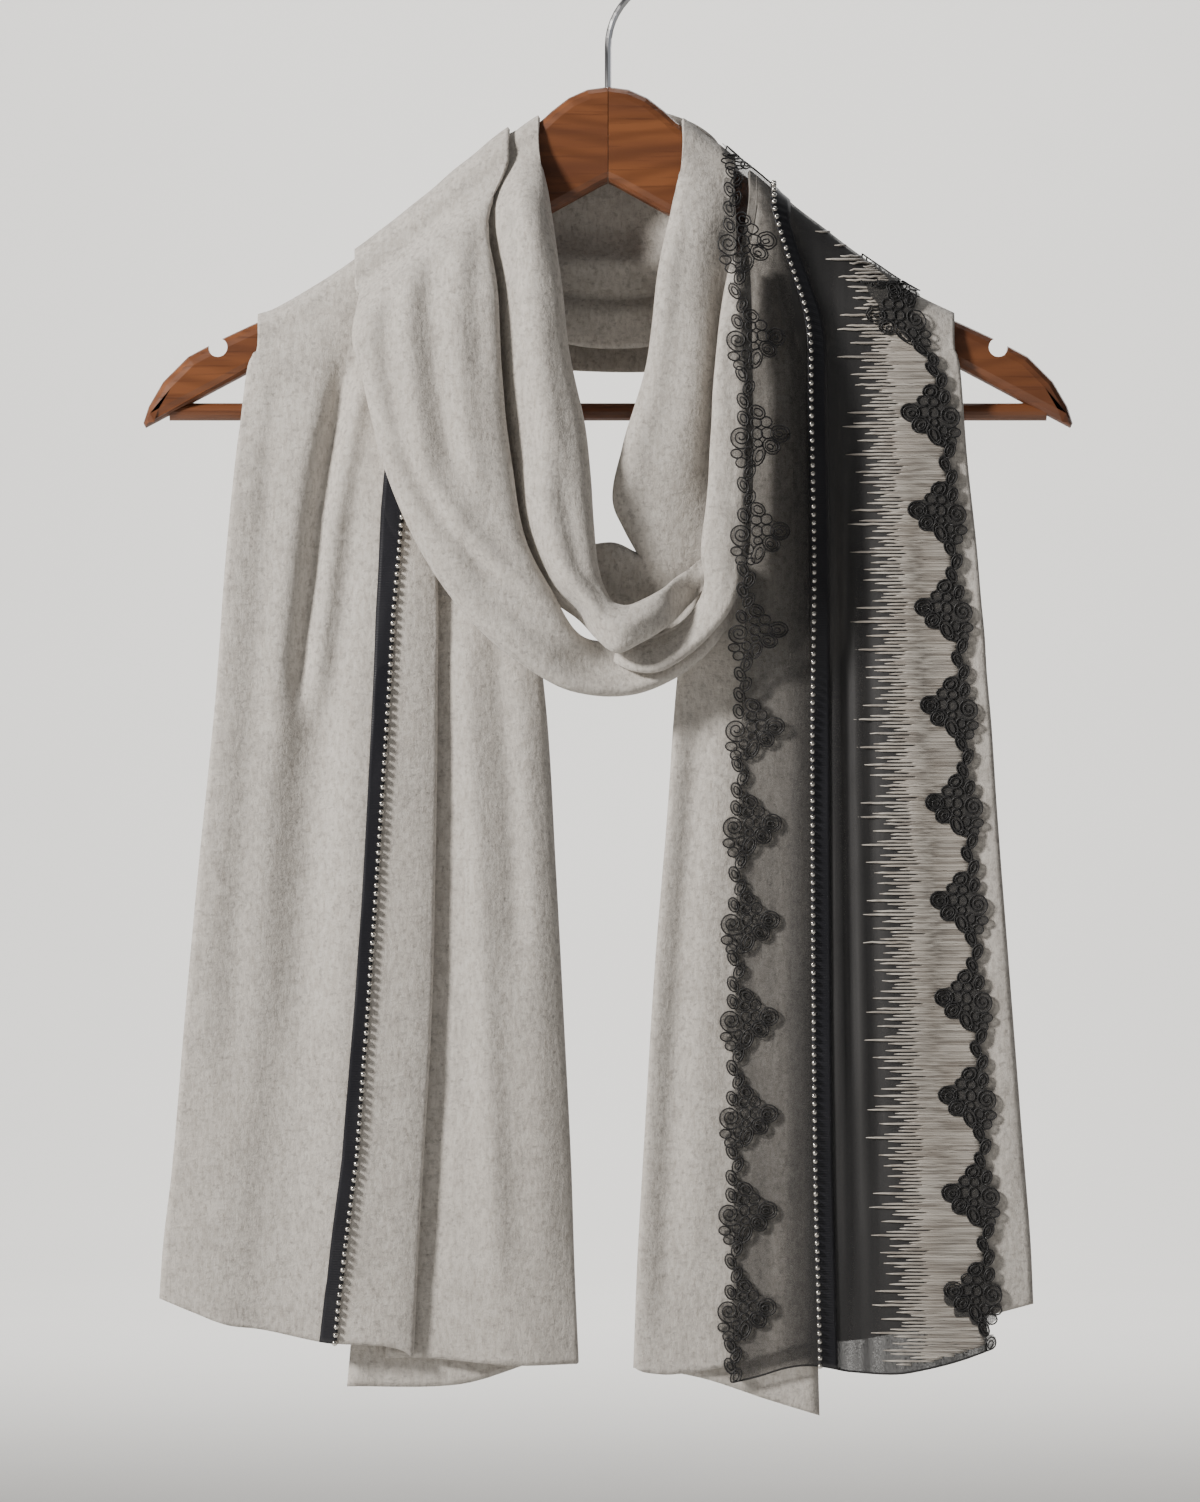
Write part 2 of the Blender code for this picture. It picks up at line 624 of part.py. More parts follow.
# x, and how far the overlay's hem hangs below the tail's there
OVERLAY_HEM = ((60, -8), (81, -8), (98, -10), (115, -14.5), (146, -20), (165, -19), (187, -16))
OVERLAY_OFFSETS = (0, 7, 14, 21, 28, 38)        # from the chain of the left lace
OVERLAY_ENDS = (34, 21, 14, 7, 0)               # from the outer edge of the right lace
LACE_OFFSETS = (-8, 0, 7, 14, 21)
LACE_FIRST = (-153.6, -188.8)                   # height of the topmost motif, left and right
LACE_PITCH = 46.8
LACE_STEP = LACE_PITCH / 4
LACE_CHAIN = 3.4                                # half of the width between motifs
LACE_MOTIF = (7.0, 20.0)                        # reach of a motif to the outer and to the inner side
# Height, left and right edge of the ribbon on the left tail
LEFT_RIBBON = (
    (-255, -106.5, -98.5),
    (-281, -109, -100.5),
    (-330, -111.5, -104.5),
    (-414, -115.5, -110),
    (-497, -120.5, -115.5),
    (-593, -128, -122.5),
    (-652, -135, -129.5),
    (-684, -139, -133),
)
RIGHT_RIBBON = (1.6, 8.6)                       # from the line of beads
LEFT_RIBBON_ROWS = 6                            # it comes out from under the loop at this section


def overlay_lift(x, chain, height):
    fade = 1.0 - smooth_step((x - chain) / LIFT_END)
    return table_at(LOOP_LIFT, height)[0] * fade


def overlay_sections(sections):
    """The overlay's sections, made from the tail's and moved out; over the loop its left side is lifted."""
    rows = []
    for k, section in enumerate(sections):
        height = on_section(section, 72, Vector((0, 0, 0))).z
        chain, beads, right = table_at(OVERLAY, height)
        settled = smooth_step(k / len(SHOULDER_ANGLES))
        row = []
        for x in [chain + reach for reach in OVERLAY_OFFSETS] + [right - reach for reach in OVERLAY_ENDS]:
            point = on_section(section, x, outward(k) * OVER_CLOTH)
            point.y += overlay_lift(x, chain, height) * settled
            if section is sections[-1]:
                point.z += table_at(OVERLAY_HEM, x)[0]
            row.append(point)
        rows.append(row)
    return rows


def over_sheer(overlay, x):
    """Points in front of the overlay's sections; x gives the place across each section."""
    points = []
    for k, row in enumerate(overlay):
        chain = table_at(OVERLAY, row[0].z)[0]
        lift = overlay_lift(x(row), chain, row[0].z)
        gap = OVER_SHEER + LIFTED_GAP * smooth_step(lift / LIFTED_FROM)
        points.append(on_section(row, x(row), outward(k) * gap))
    return points


def at_offset(rails, offsets, offset):
    k = 0
    while k < len(offsets) - 2 and offsets[k + 1] < offset:
        k += 1
    return rails[k].lerp(rails[k + 1], (offset - offsets[k]) / (offsets[k + 1] - offsets[k]))


def lace_sections(overlay, way):
    """Cross rows of a scalloped border, narrow at its chain and wide at each motif, which points that way."""
    edge = 0 if way > 0 else -1
    rails = [over_sheer(overlay, lambda row: row[edge].x + way * offset) for offset in LACE_OFFSETS]
    spine = rails[1]
    lengths = [0.0]
    for a, b in zip(spine, spine[1:]):
        lengths.append(lengths[-1] + (b - a).length)
    over = len(SHOULDER_ANGLES) - 1
    topmost = LACE_FIRST[edge]
    k = next(k for k, point in enumerate(spine) if point.z < topmost and k >= over)
    first = lengths[k] - (topmost - spine[k].z)
    count = round((lengths[-1] - lengths[over]) / LACE_STEP)
    stations = lengths[:over]
    for step in range(count + 1):
        s = mix(lengths[over], lengths[-1], step / count)
        nearest = min(lengths, key=lambda length: abs(length - s))
        stations.append(nearest if abs(nearest - s) < LACE_STEP / 2 else s)
    rows = []
    for s in stations:
        place = max(1, next(i for i, length in enumerate(lengths) if length >= s - 0.001))
        t = (s - lengths[place - 1]) / (lengths[place] - lengths[place - 1])
        across = [line[place - 1].lerp(line[place], t) for line in rails]
        phase = (s - first) / LACE_PITCH
        bump = max(0.0, math.cos(math.pi * 1.5 * (phase - round(phase)))) ** 1.3
        outer = -mix(LACE_CHAIN, LACE_MOTIF[0], bump)
        inner = mix(LACE_CHAIN, LACE_MOTIF[1], bump)
        chain, beads, right = table_at(OVERLAY, across[1].z)
        if way > 0:
            inner = min(inner, beads - chain - 3)
        offsets = (outer, 0, inner * 0.35, inner * 0.7, inner)
        rows.append([at_offset(across, LACE_OFFSETS, offset) for offset in offsets])
    return rows


def ribbon_sections(sections, table, first):
    rows = []
    for k, section in enumerate(sections[first:], first):
        left, right = table_at(table, section[3][2])
        out = outward(k) * OVER_CLOTH
        rows.append([on_section(section, x, out) for x in (left, mix(left, right, 0.5), right)])
    return rows


def right_ribbon_sections(overlay):
    lines = []
    for reach in (RIGHT_RIBBON[0], sum(RIGHT_RIBBON) / 2, RIGHT_RIBBON[1]):
        lines.append(over_sheer(overlay, lambda row: table_at(OVERLAY, row[0].z)[1] + reach))
    return [list(row) for row in zip(*lines)]


def main():
    hanger()
    hook()
    left = left_tail_sections()
    right = right_tail_sections()
    cloth("left_tail", left, 1, WALL, WOOL)
    cloth("right_tail", right, 1, WALL, WOOL)
    cloth("outer_wrap", band_sections(OUTER_WRAP, OUTER_WRAP_SHOULDER), 2, WALL, WOOL)
    cloth("inner_wrap", band_sections(INNER_WRAP, INNER_WRAP_SHOULDER), 2, WALL, WOOL)
    cloth("side_strip", band_sections(SIDE_STRIP), 1, WALL, WOOL)
    cloth("right_wrap", band_sections(RIGHT_WRAP, RIGHT_WRAP_SHOULDER), 2, WALL, WOOL)
    outer_back = back_sections((-33.5, -122), (70, 167), (WRAP_LIFT, TAIL_LIFT), OUTER_BACK, OUTER_SWELL)
    inner_back = back_sections((-60, -169), (36, 61), (TAIL_LIFT, TAIL_LIFT), INNER_BACK, ROLLS)
    cloth("neck_back_outer", outer_back, 2, WALL, WOOL)
    cloth("neck_back_inner", inner_back, 2, WALL, WOOL)
    overlay = overlay_sections(right)
    cloth("sheer_panel", overlay, 1, SHEER_WALL, SHEER)
    cloth("lace_left", lace_sections(overlay, 1), 1, SHEER_WALL, LACE)
    cloth("lace_right", lace_sections(overlay, -1), 1, SHEER_WALL, LACE)
    cloth("ribbon_left", ribbon_sections(left, LEFT_RIBBON, LEFT_RIBBON_ROWS), 1, SHEER_WALL, SATIN)
    cloth("ribbon_right", right_ribbon_sections(overlay), 1, SHEER_WALL, SATIN)


main()
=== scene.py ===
# Wool scarf on a wooden hanger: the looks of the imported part. Tables and lengths are in millimetres, as in
# part.py, with x to the right, depth to the front and z up; meshes are in metres with the front at -Y.
import math

import bpy
import numpy as np
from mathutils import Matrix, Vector, noise


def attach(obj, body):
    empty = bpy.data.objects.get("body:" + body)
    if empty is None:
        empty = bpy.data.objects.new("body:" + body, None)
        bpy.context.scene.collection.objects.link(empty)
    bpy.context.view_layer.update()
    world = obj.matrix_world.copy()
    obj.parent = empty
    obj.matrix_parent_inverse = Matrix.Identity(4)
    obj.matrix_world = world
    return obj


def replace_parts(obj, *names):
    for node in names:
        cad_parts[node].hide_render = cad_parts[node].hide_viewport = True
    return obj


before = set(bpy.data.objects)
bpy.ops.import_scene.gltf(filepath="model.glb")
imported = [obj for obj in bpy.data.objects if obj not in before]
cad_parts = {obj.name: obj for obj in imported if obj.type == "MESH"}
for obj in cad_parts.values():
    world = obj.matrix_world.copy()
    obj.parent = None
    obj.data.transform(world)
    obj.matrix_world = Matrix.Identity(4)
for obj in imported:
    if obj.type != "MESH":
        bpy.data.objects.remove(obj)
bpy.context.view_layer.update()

MM = 0.001                  # a millimetre in metres
WALL = 1.8                  # thickness of the felted wool
SHEER_WALL = 1.0            # sheer overlay, lace and ribbons
LAYER = 3.2                 # from one layer of a folded tail to the next

# Hanger
BOARD_HALF = 7.0            # half of the board's thickness
NECK_TOP = -76.5            # top of the board, at the hook

# Upper edge of the board: distance from the middle, height
BOARD_EDGE = (
    (0, NECK_TOP), (10, -77.8), (19, -81.8), (27, -88.0), (33, -93.5), (46, -103.0),
    (64, -117.5), (88, -138.0), (122, -163.5), (155, -184.0), (172, -191.5),
)

# Cloth over the arms: the mid-surface runs on a curve of this radius about the board's top
DRAPE_RADIUS = 9.4
SLOPE_STRETCH = 1.22        # a section across a sloping arm is this much taller
FRONT = 9.4                 # innermost cloth in front of the board, as depth


def mix(a, b, t):
    return a + (b - a) * t


def smooth_ramp(values, low, high):
    """0 at low and 1 at high, smoothly between them."""
    t = np.clip((np.asarray(values) - low) / (high - low), 0.0, 1.0)
    return t * t * (3 - 2 * t)


def hermite(t):
    """Shares of the start, its slope, the end and its slope in a smooth curve's point at t."""
    return 2 * t**3 - 3 * t**2 + 1, t**3 - 2 * t**2 + t, 3 * t**2 - 2 * t**3, t**3 - t**2


def table_at(rows, place):
    """A row of numbers read from a table at a place in its first column, smoothly between its rows."""
    keys = [row[0] for row in rows]
    rising = keys[-1] > keys[0]
    if (place <= keys[0]) == rising:
        return list(rows[0][1:])
    if (place >= keys[-1]) == rising:
        return list(rows[-1][1:])
    k = 0
    while (keys[k + 1] < place) == rising:
        k += 1
    t = (place - keys[k]) / (keys[k + 1] - keys[k])
    before = rows[max(0, k - 1)]
    after = rows[min(len(rows) - 1, k + 2)]
    values = []
    h00, h10, h01, h11 = hermite(t)
    for a, b, c, d in zip(before[1:], rows[k][1:], rows[k + 1][1:], after[1:]):
        slope_b = (c - a) / 2 if k > 0 else c - b
        slope_c = (d - b) / 2 if k + 2 < len(rows) else c - b
        if (b - a) * (c - b) <= 0 and k > 0:
            slope_b = 0.0
        if (c - b) * (d - c) <= 0 and k + 2 < len(rows):
            slope_c = 0.0
        values.append(h00 * b + h10 * slope_b + h01 * c + h11 * slope_c)
    return values


def arm_top(x):
    """Height of the hanger's upper edge at a distance from its middle, for the cloth that lies on it."""
    return table_at(BOARD_EDGE, abs(x))[0]


# Cloth lying over an arm

SHOULDER_ANGLES = (-15, 25, 60, 90)     # degrees about the board's top, 0 at the top, + to the front
ARM_ROWS = len(SHOULDER_ANGLES)
BACK_ANGLES = (-20, -55, -90)           # where the stretches behind the neck start
TAIL_LIFT = 0.7                         # height of a tail over the innermost cloth
WRAP_LIFT = 4.8                         # the wraps lie over the left tail


def over_arm(x, angle, lift):
    """A point of cloth that lies over the arm, as (x, depth, z)."""
    radius = DRAPE_RADIUS + lift
    turn = math.radians(angle)
    height = arm_top(x) + SLOPE_STRETCH * (radius * math.cos(turn) - BOARD_HALF)
    return (x, radius * math.sin(turn), height)


# Tails

OPENED_STEP = 1.8                       # between the points of a fold that is opened flat


def hairpin(x, near, far, lap, side, way):
    """Five points of a fold at x that turns from depth near to depth far; lap 1 is closed, -1 is opened flat.

    The closed fold points to the given side; the opened one runs on in the given way."""
    middle = (near + far) / 2
    radius = (near - far) / 2
    points = []
    for k in range(5):
        turn = math.radians(90 - 45 * k)
        closed = (x + side * (radius * math.cos(turn) - radius), middle + radius * math.sin(turn))
        opened = (x + way * OPENED_STEP * (k - 2), mix(near, far, k / 4))
        t = (lap + 1) / 2
        points.append((mix(opened[0], closed[0], t), mix(opened[1], closed[1], t)))
    return points


# Heights of the left tail's sections, with its outlines and folds at each: the left edge, the soft
# trough in the front panel and its depth, the front fold, the right fold, the back layer's end,
# how far the layers stand apart and how far they lap
LEFT_TAIL = (
    (-215, -174, -120, 2.5, -99, -58, -58, 0.55, -1.0),
    (-255, -179, -129, 4.0, -91, -50, -50, 1.00, -0.8),
    (-300, -183.5, -136, 4.0, -84, -41, -70, 1.00, 1.0),
    (-374, -189, -147, 3.0, -83, -31, -78, 1.00, 1.0),
    (-454, -197, -150, 2.0, -84, -26, -92, 1.00, 1.0),
    (-530, -204, -156, 1.5, -86, -22, -104, 1.00, 1.0),
    (-600, -210, -161, 1.2, -90, -18.5, -114, 1.00, 1.0),
    (-645, -214, -165, 1.0, -92.5, -17, -121, 1.00, 1.0),
    (-688, -216, -167, 1.0, -94.5, -15, -126, 1.00, 1.0),
)
LEFT_SHOULDER = (-169, -116, 1.0, -104, -66, -58, 0.0, -1.0)
LAP = 12.0                              # width of the tuck behind the front fold
# How much higher each of the section's points ends than the last section's level
LEFT_HEM = (27, 20, 14, 12, 6, 0, -1, -1, -1, -1, -1, -1, -2, -2, -2, -2, -5.5, -5, -5, -4, -3, -2, -15, -16)
HEM_START, HEM_FULL = -610, -688        # the hem's own line grows in between these heights
TUCKED_BULGE = 5.0                      # the second panel swells forward beside the tuck


def left_profile(left, trough, dip, fold, right, back_end, apart, lap):
    """The left tail's section as (x, depth), from the left edge to the back layer's end."""
    base = FRONT + TAIL_LIFT
    steps = [base + LAYER * apart * k for k in (3, 2, 1, 0)]
    front, tuck_depth, second, back = steps
    width = fold - left
    tuck = fold - LAP * lap
    end = mix(right + 10, back_end, max(0.0, lap))
    rise = apart
    points = [(left, front - 1.0 * rise), (left + 0.14 * width, front + 0.6 * rise)]
    points += [(mix(left, trough, 0.68), front + 0.8 * rise), (trough, front - dip * rise)]
    points += [(mix(trough, fold, 0.4), front + 0.8 * rise)]
    points += hairpin(fold, front, tuck_depth, lap, 1, 1)
    points += hairpin(tuck, tuck_depth, second, lap, -1, 1)
    points += [(fold + mix(20, 7, (lap + 1) / 2), second + 0.4 * rise)]
    points += [(mix(fold, right, 0.62), second + TUCKED_BULGE * rise)]
    points += hairpin(right, second, back, lap, 1, 1)
    points += [(mix(points[-1][0], end, 0.5), back), (end, back)]
    return points


def hanging(profile, height, hem):
    """A section at one height; near the end each point takes its own place on the hem."""
    share = smooth_ramp(height, HEM_START, HEM_FULL)
    return [(x, depth, height + share * drop) for (x, depth), drop in zip(profile, hem)]


def shoulder_rows(profile, lift):
    """Sections over the arm: each point keeps its height over the innermost cloth."""
    rows = []
    for angle in SHOULDER_ANGLES:
        rows.append([over_arm(x, angle, lift + depth - FRONT - TAIL_LIFT) for x, depth in profile])
    return rows


def easing(arm_row, hanging_row):
    """A section between the arm, where it slopes, and the first level one."""
    return [tuple(mix(a, b, 0.5) for a, b in zip(p, q)) for p, q in zip(arm_row, hanging_row)]


def left_tail_sections():
    rows = shoulder_rows(left_profile(*LEFT_SHOULDER), TAIL_LIFT)
    level = [hanging(left_profile(*row[1:]), row[0], LEFT_HEM) for row in LEFT_TAIL]
    return rows + [easing(rows[-1], level[0])] + level


# Heights of the right tail's sections: the right edge, the left fold, the back layer's end, layers
# apart, lap
RIGHT_TAIL = (
    (-215, 170, 62, 52, 0.5, -1.0),
    (-255, 173, 52, 52, 1.0, -0.3),
    (-302, 178, 42, 75, 1.0, 0.7),
    (-326, 180, 38.5, 78, 1.0, 0.9),
    (-342, 181.5, 36.5, 79, 1.0, 0.95),
    (-359, 182.5, 34.5, 80, 1.0, 1.0),
    (-382, 184.5, 32.5, 81.5, 1.0, 1.0),
    (-420, 187, 30, 84, 1.0, 1.0),
    (-500, 193, 23.5, 90, 1.0, 1.0),
    (-590, 200, 18, 97, 1.0, 1.0),
    (-640, 203.5, 15, 100, 1.0, 1.0),
    (-688, 205, 13, 102, 1.0, 1.0),
)
RIGHT_SHOULDER = (167, 78, 68, 0.0, -1.0)
RIGHT_HEM = (24, 17, 12, 7, 4, -4, -9, -10, -8, -7, -7, -7, -7, -12, -22, -30)
PANEL_WAVES = (-1.0, 0.8, 1.5, -1.5, 1.0, 0.4, -0.4)    # swell of the front panel, from the right edge


def right_profile(right, left, back_end, apart, lap):
    """The right tail's section as (x, depth), from the right edge round the left fold to the back's end."""
    back = FRONT + TAIL_LIFT
    front = back + LAYER * apart
    end = mix(left - 10, back_end, max(0.0, lap))
    points = []
    for k, wave in enumerate(PANEL_WAVES):
        share = k / len(PANEL_WAVES)
        points.append((mix(right, left, share), front + wave * apart))
    points += [(mix(right, left, 0.94), front)]
    points += hairpin(left, front, back, lap, -1, -1)
    points += [(mix(points[-1][0], end, share), back) for share in (0.35, 0.7, 1.0)]
    return points


def right_tail_sections():
    rows = shoulder_rows(right_profile(*RIGHT_SHOULDER), TAIL_LIFT)
    level = [hanging(right_profile(*row[1:]), row[0], RIGHT_HEM) for row in RIGHT_TAIL]
    return rows + [easing(rows[-1], level[0])] + level


# The loop in front

# Places across a band, flat and with its edges rolled under, from its outer edge to its inner one
FLAT = (0.0, 0.04, 0.08, 0.13, 0.2, 0.35, 0.5, 0.65, 0.8, 0.87, 0.92, 0.96, 1.0)
ROLLED = (0.24, 0.10, 0.015, 0.0, 0.07, 0.28, 0.5, 0.72, 0.93, 1.0, 0.985, 0.90, 0.76)
# How much of the way each of those places stands from the band's back to its front
FLAT_STAND = (0.0, 0.03, 0.08, 0.2, 0.45, 0.85, 1.0, 0.85, 0.45, 0.2, 0.08, 0.03, 0.0)
ROLLED_STAND = (0.0, 0.0, 0.3, 0.7, 1.0, 1.0, 1.0, 1.0, 1.0, 0.7, 0.3, 0.0, 0.0)


def band_section(outer, inner, depths, rolled_out, rolled_in):
    back_out, front_out, front_middle, front_in, back_in = depths
    points = []
    for k in range(len(FLAT)):
        rolled = rolled_out if k < 6 else rolled_in
        share = mix(FLAT[k], ROLLED[k], rolled)
        stand = mix(FLAT_STAND[k], ROLLED_STAND[k], rolled)
        fronts = ((0.0, front_out), (0.5, front_middle), (1.0, front_in))
        front = table_at(fronts, max(0.0, min(1.0, share)))[0]
        back = back_out if k < 6 else back_in
        x, z = (mix(outer[axis], inner[axis], share) for axis in (0, 1))
        points.append((x, mix(back, front, stand), z))
    return points


def band_sections(table, shoulder=None):
    """Sections of a band of the loop; shoulder gives its outer and inner edge over the arm and its lift."""
    rows = []
    if shoulder:
        outer, inner, lift = shoulder
        for angle in SHOULDER_ANGLES:
            rows.append([over_arm(mix(outer, inner, share), angle, lift) for share in FLAT])
    for out_x, out_z, in_x, in_z, *rest in table:
        rows.append(band_section((out_x, out_z), (in_x, in_z), rest[:5], rest[5], rest[6]))
    return rows


# Each row: outer edge x, z; inner edge x, z; depths at the outer roll's back, its front, the middle,
# the inner front and the inner back; how far the outer and the inner edge are rolled under
OUTER_WRAP = (
    (-123.5, -184, -55, -140, 21, 26, 29, 29, 23.5, 0.4, 0.4),
    (-122, -200, -54, -176, 23.5, 34, 37, 37, 28, 1, 1),
    (-118, -215, -52, -208, 24.5, 36, 40, 39, 30, 1, 1),
    (-106, -263, -48, -252, 26, 38, 42, 41, 31, 1, 1),
    (-88, -303.5, -40, -297, 26.5, 39, 43, 42, 32, 1, 1),
    (-68, -332, -28, -321, 26.5, 38, 42, 41, 32, 1, 1),
    (-43, -354, -14, -341.5, 26, 37, 39, 36, 28, 1, 0.8),
    (-15, -368.5, 3, -345, 25, 36, 31, 26, 23, 1, 0),
    (10, -370, 14, -346, 23, 34, 28.5, 25, 22, 1, 0),
    (33, -361, 25, -340, 21, 32, 27.5, 24, 21, 1, 0),
    (57, -337, 42, -322, 19, 28, 26, 22, 19, 1, 0),
    (67, -313, 52, -298, 18.5, 23, 24, 21, 18.5, 0.6, 0),
)
INNER_WRAP = (
    (-58, -138, -28, -128, 17, 25, 29, 26, 18, 0, 0.4),
    (-58, -174, -24, -168, 18, 30, 37, 33, 19, 0, 1),
    (-56.5, -209, -20, -203, 19, 31, 40, 35, 20, 0, 1),
    (-52.5, -254, -11, -247, 20, 32, 43, 37, 22, 0, 1),
    (-44.5, -300, -7.5, -290, 21, 34, 46, 40, 25, 0, 1),
    (-31, -321.5, -5.5, -309, 22, 37, 48, 42, 28, 0, 1),
    (-15.5, -333, -2.5, -319, 24, 39, 49, 43, 30, 0, 1),
    (-5, -344, 2.5, -327, 33, 44, 50, 45, 32, 0.6, 1),
    (4, -349.5, 9, -328.5, 38.5, 48, 52, 45, 34, 1, 1),
    (15, -345, 17, -325.5, 38.5, 47, 50, 44, 34, 1, 1),
    (26, -338.5, 26, -320.5, 36, 43, 44, 40, 31, 1, 1),
    (35, -331, 34, -313, 27, 30, 31, 30, 26, 0.6, 0.6),
    (41, -325, 41, -308, 24, 25, 25.5, 25, 24, 0, 0),
    (50, -315, 50, -302, 24, 24.5, 25, 24.5, 24, 0, 0),
)
SIDE_STRIP = (
    (3, -355, 6, -341, 30, 31, 31, 30, 28, 0, 0),
    (10, -358, 11, -343, 32, 37, 35, 31, 28, 0.7, 0),
    (21, -359, 18, -343, 32, 40, 35, 31, 28, 1, 0),
    (36, -352, 29, -339.5, 31, 39, 35, 31, 28, 1, 0),
    (49, -340.5, 38.5, -332.5, 31, 39, 36, 32, 28.5, 1, 0),
    (60, -326, 46, -318, 31, 40, 40, 36, 30, 1, 0.6),
    (66, -308, 45, -302, 30, 39, 42, 39, 30, 1, 1),
    (68, -283, 47.5, -280, 29, 37, 41, 39, 30, 1, 1),
    (69, -245, 50, -242, 27, 35, 40, 38, 29.5, 1, 1),
    (68, -205, 53, -205, 24, 32, 36, 35, 27, 1, 1),
    (68, -176, 56.5, -177, 21, 26, 29, 28, 23, 0.8, 0.8),
    (67, -160, 60, -161, 20.5, 23.5, 25, 24, 21, 0.6, 0.6),
)
RIGHT_WRAP = (
    (62, -145, 29.4, -137.7, 14, 16, 19, 20, 12.5, 0, 0.5),
    (62, -172, 25, -165, 15, 17, 23, 24, 12.5, 0, 1),
    (62, -205, 21.7, -195.5, 16, 18, 27, 26, 13, 0, 1),
    (62, -235, 17.8, -216.7, 16, 18, 29, 27, 13.5, 0, 1),
    (60, -262, 7.7, -251.5, 16, 18, 27, 26, 14, 0, 1),
    (56, -290, 2.9, -278, 16, 17, 21, 22, 13.5, 0, 1),
    (49, -312, 8.5, -291, 16, 17, 19, 20.5, 13.5, 0, 1),
    (36, -325, 15, -303, 16, 17, 19, 20, 13, 0, 1),
    (19, -334, 12, -302, 16, 17, 19, 20, 13, 0, 1),
    (0, -335, 3, -298, 16, 17, 19, 20, 13, 0, 1),
    (-16, -326, -9, -297, 16, 17, 18, 18, 14, 0, 0.3),
)
OUTER_WRAP_SHOULDER = (-122, -48, WRAP_LIFT)
INNER_WRAP_SHOULDER = (-54, -33.5, TAIL_LIFT)
RIGHT_WRAP_SHOULDER = (61, 36, TAIL_LIFT)


# Behind the neck


def behind(table_row, profile):
    """A section behind the neck between its upper and lower edge; profile gives (share down, extra depth)."""
    top_x, top_z, low_x, low_z, distance, swell = table_row
    points = []
    for share, extra in profile:
        points.append((mix(top_x, low_x, share), -(distance + extra * swell), mix(top_z, low_z, share)))
    return points


# Upper edge x, z; lower edge x, z; distance behind the board's middle; share of the swell
OUTER_BACK = (
    (-30, -97, -98, -196, 21.5, 0.5),
    (-14, -86, -48, -209, 25.5, 1.0),
    (4, -84, 5, -213, 27.0, 1.0),
    (24, -86, 62, -210, 25.5, 1.0),
    (50, -99, 122, -200, 20, 0.5),
)
OUTER_SWELL = (
    (0, 0), (0.08, 1), (0.22, 2.5), (0.36, 3), (0.5, 2), (0.64, 2.5), (0.78, 3), (0.92, 1.5), (1, 0),
)
INNER_BACK = (
    (-38, -114, -76, -190, 11.5, 0.2),
    (-20, -102, -30, -198, 12.0, 0.9),
    (0, -99, 0, -202, 12.0, 1.0),
    (20, -101, 28, -198, 12.0, 0.9),
    (34, -106, 48, -182, 11.5, 0.2),
)
# The rolls that show through the neck opening: a hollow, a roll, a hollow, a roll
ROLLS = (
    (0, 0), (0.14, 2), (0.3, 4.5), (0.47, 6.5), (0.53, 3), (0.57, -0.5), (0.64, -2.2),
    (0.72, -1), (0.765, 3), (0.8, -0.5), (0.87, -2), (0.95, 0.5), (1, 3),
)


def back_sections(left, right, lifts, table, profile):
    """A stretch behind the neck; left and right give its upper and lower edge where it meets the arms."""
    shares = [share for share, _ in profile]
    rows = []
    for angle in BACK_ANGLES:
        row = []
        for share in shares:
            lift = mix(TAIL_LIFT, lifts[0], smooth_ramp(share, 0.15, 0.27))
            row.append(over_arm(mix(*left, share), angle, lift))
        rows.append(row)
    rows += [behind(row, profile) for row in table]
    for angle in reversed(BACK_ANGLES):
        rows.append([over_arm(mix(*right, share), angle, lifts[1]) for share in shares])
    return rows


# What lies on the tails

OVER_CLOTH = WALL / 2 + 0.6 + SHEER_WALL / 2
# Height, x of the lace's chain on the left of the overlay, the beads, and the right lace's outer edge
OVERLAY = (
    (-120, 70, 79, 150),
    (-160, 64, 91, 158),
    (-189, 64, 96, 163),
    (-235, 66, 96.5, 171),
    (-290, 66, 97.5, 175),
    (-350, 65, 98, 179),
    (-470, 62, 98.5, 185),
    (-590, 61, 99.5, 190),
    (-700, 60, 102, 192.5),
)
# Height, and how far the loop under it lifts the overlay's left side
LOOP_LIFT = (
    (-120, 0.0), (-150, 12), (-176, 19), (-205, 25), (-245, 29), (-283, 30),
    (-308, 31), (-326, 27), (-345, 16), (-372, 4), (-400, 0),
)
LIFT_END = 52.0                         # the lift fades out this far right of the chain
OVERLAY_HEM_START = -640
# x, and how far the overlay's hem hangs below the tail's there
OVERLAY_HEM = ((60, -8), (81, -8), (98, -10), (115, -14.5), (146, -20), (165, -19), (187, -16))
# Height, left and right edge of the ribbon on the left tail
LEFT_RIBBON = (
    (-255, -106.5, -98.5),
    (-281, -109, -100.5),
    (-330, -111.5, -104.5),
    (-414, -115.5, -110),
    (-497, -120.5, -115.5),
    (-593, -128, -122.5),
    (-652, -135, -129.5),
    (-684, -139, -133),
)
RIGHT_RIBBON_END = 8.6                  # from the line of beads to the right ribbon's right edge


def overlay_lift(x, chain, height):
    """How far the loop lifts the overlay at x, where its left edge is at chain."""
    return table_at(LOOP_LIFT, height)[0] * (1.0 - smooth_ramp(x - chain, 0, LIFT_END))


# Fine cloth grids


def knots_of(grid):
    """Mean distance along the first axis, from its start to each row."""
    steps = np.linalg.norm(np.diff(grid, axis=0), axis=2).mean(axis=1)
    return np.concatenate(([0.0], np.cumsum(np.maximum(steps, 0.05))))


def places_for(knots, spacing, least):
    """Places about a spacing apart that keep the knots, with the least number of steps between two knots."""
    found = [np.array([knots[0]])]
    for a, b in zip(knots, knots[1:]):
        count = max(least, int(round((b - a) / spacing)))
        found.append(np.linspace(a, b, count + 1)[1:])
    return np.concatenate(found)


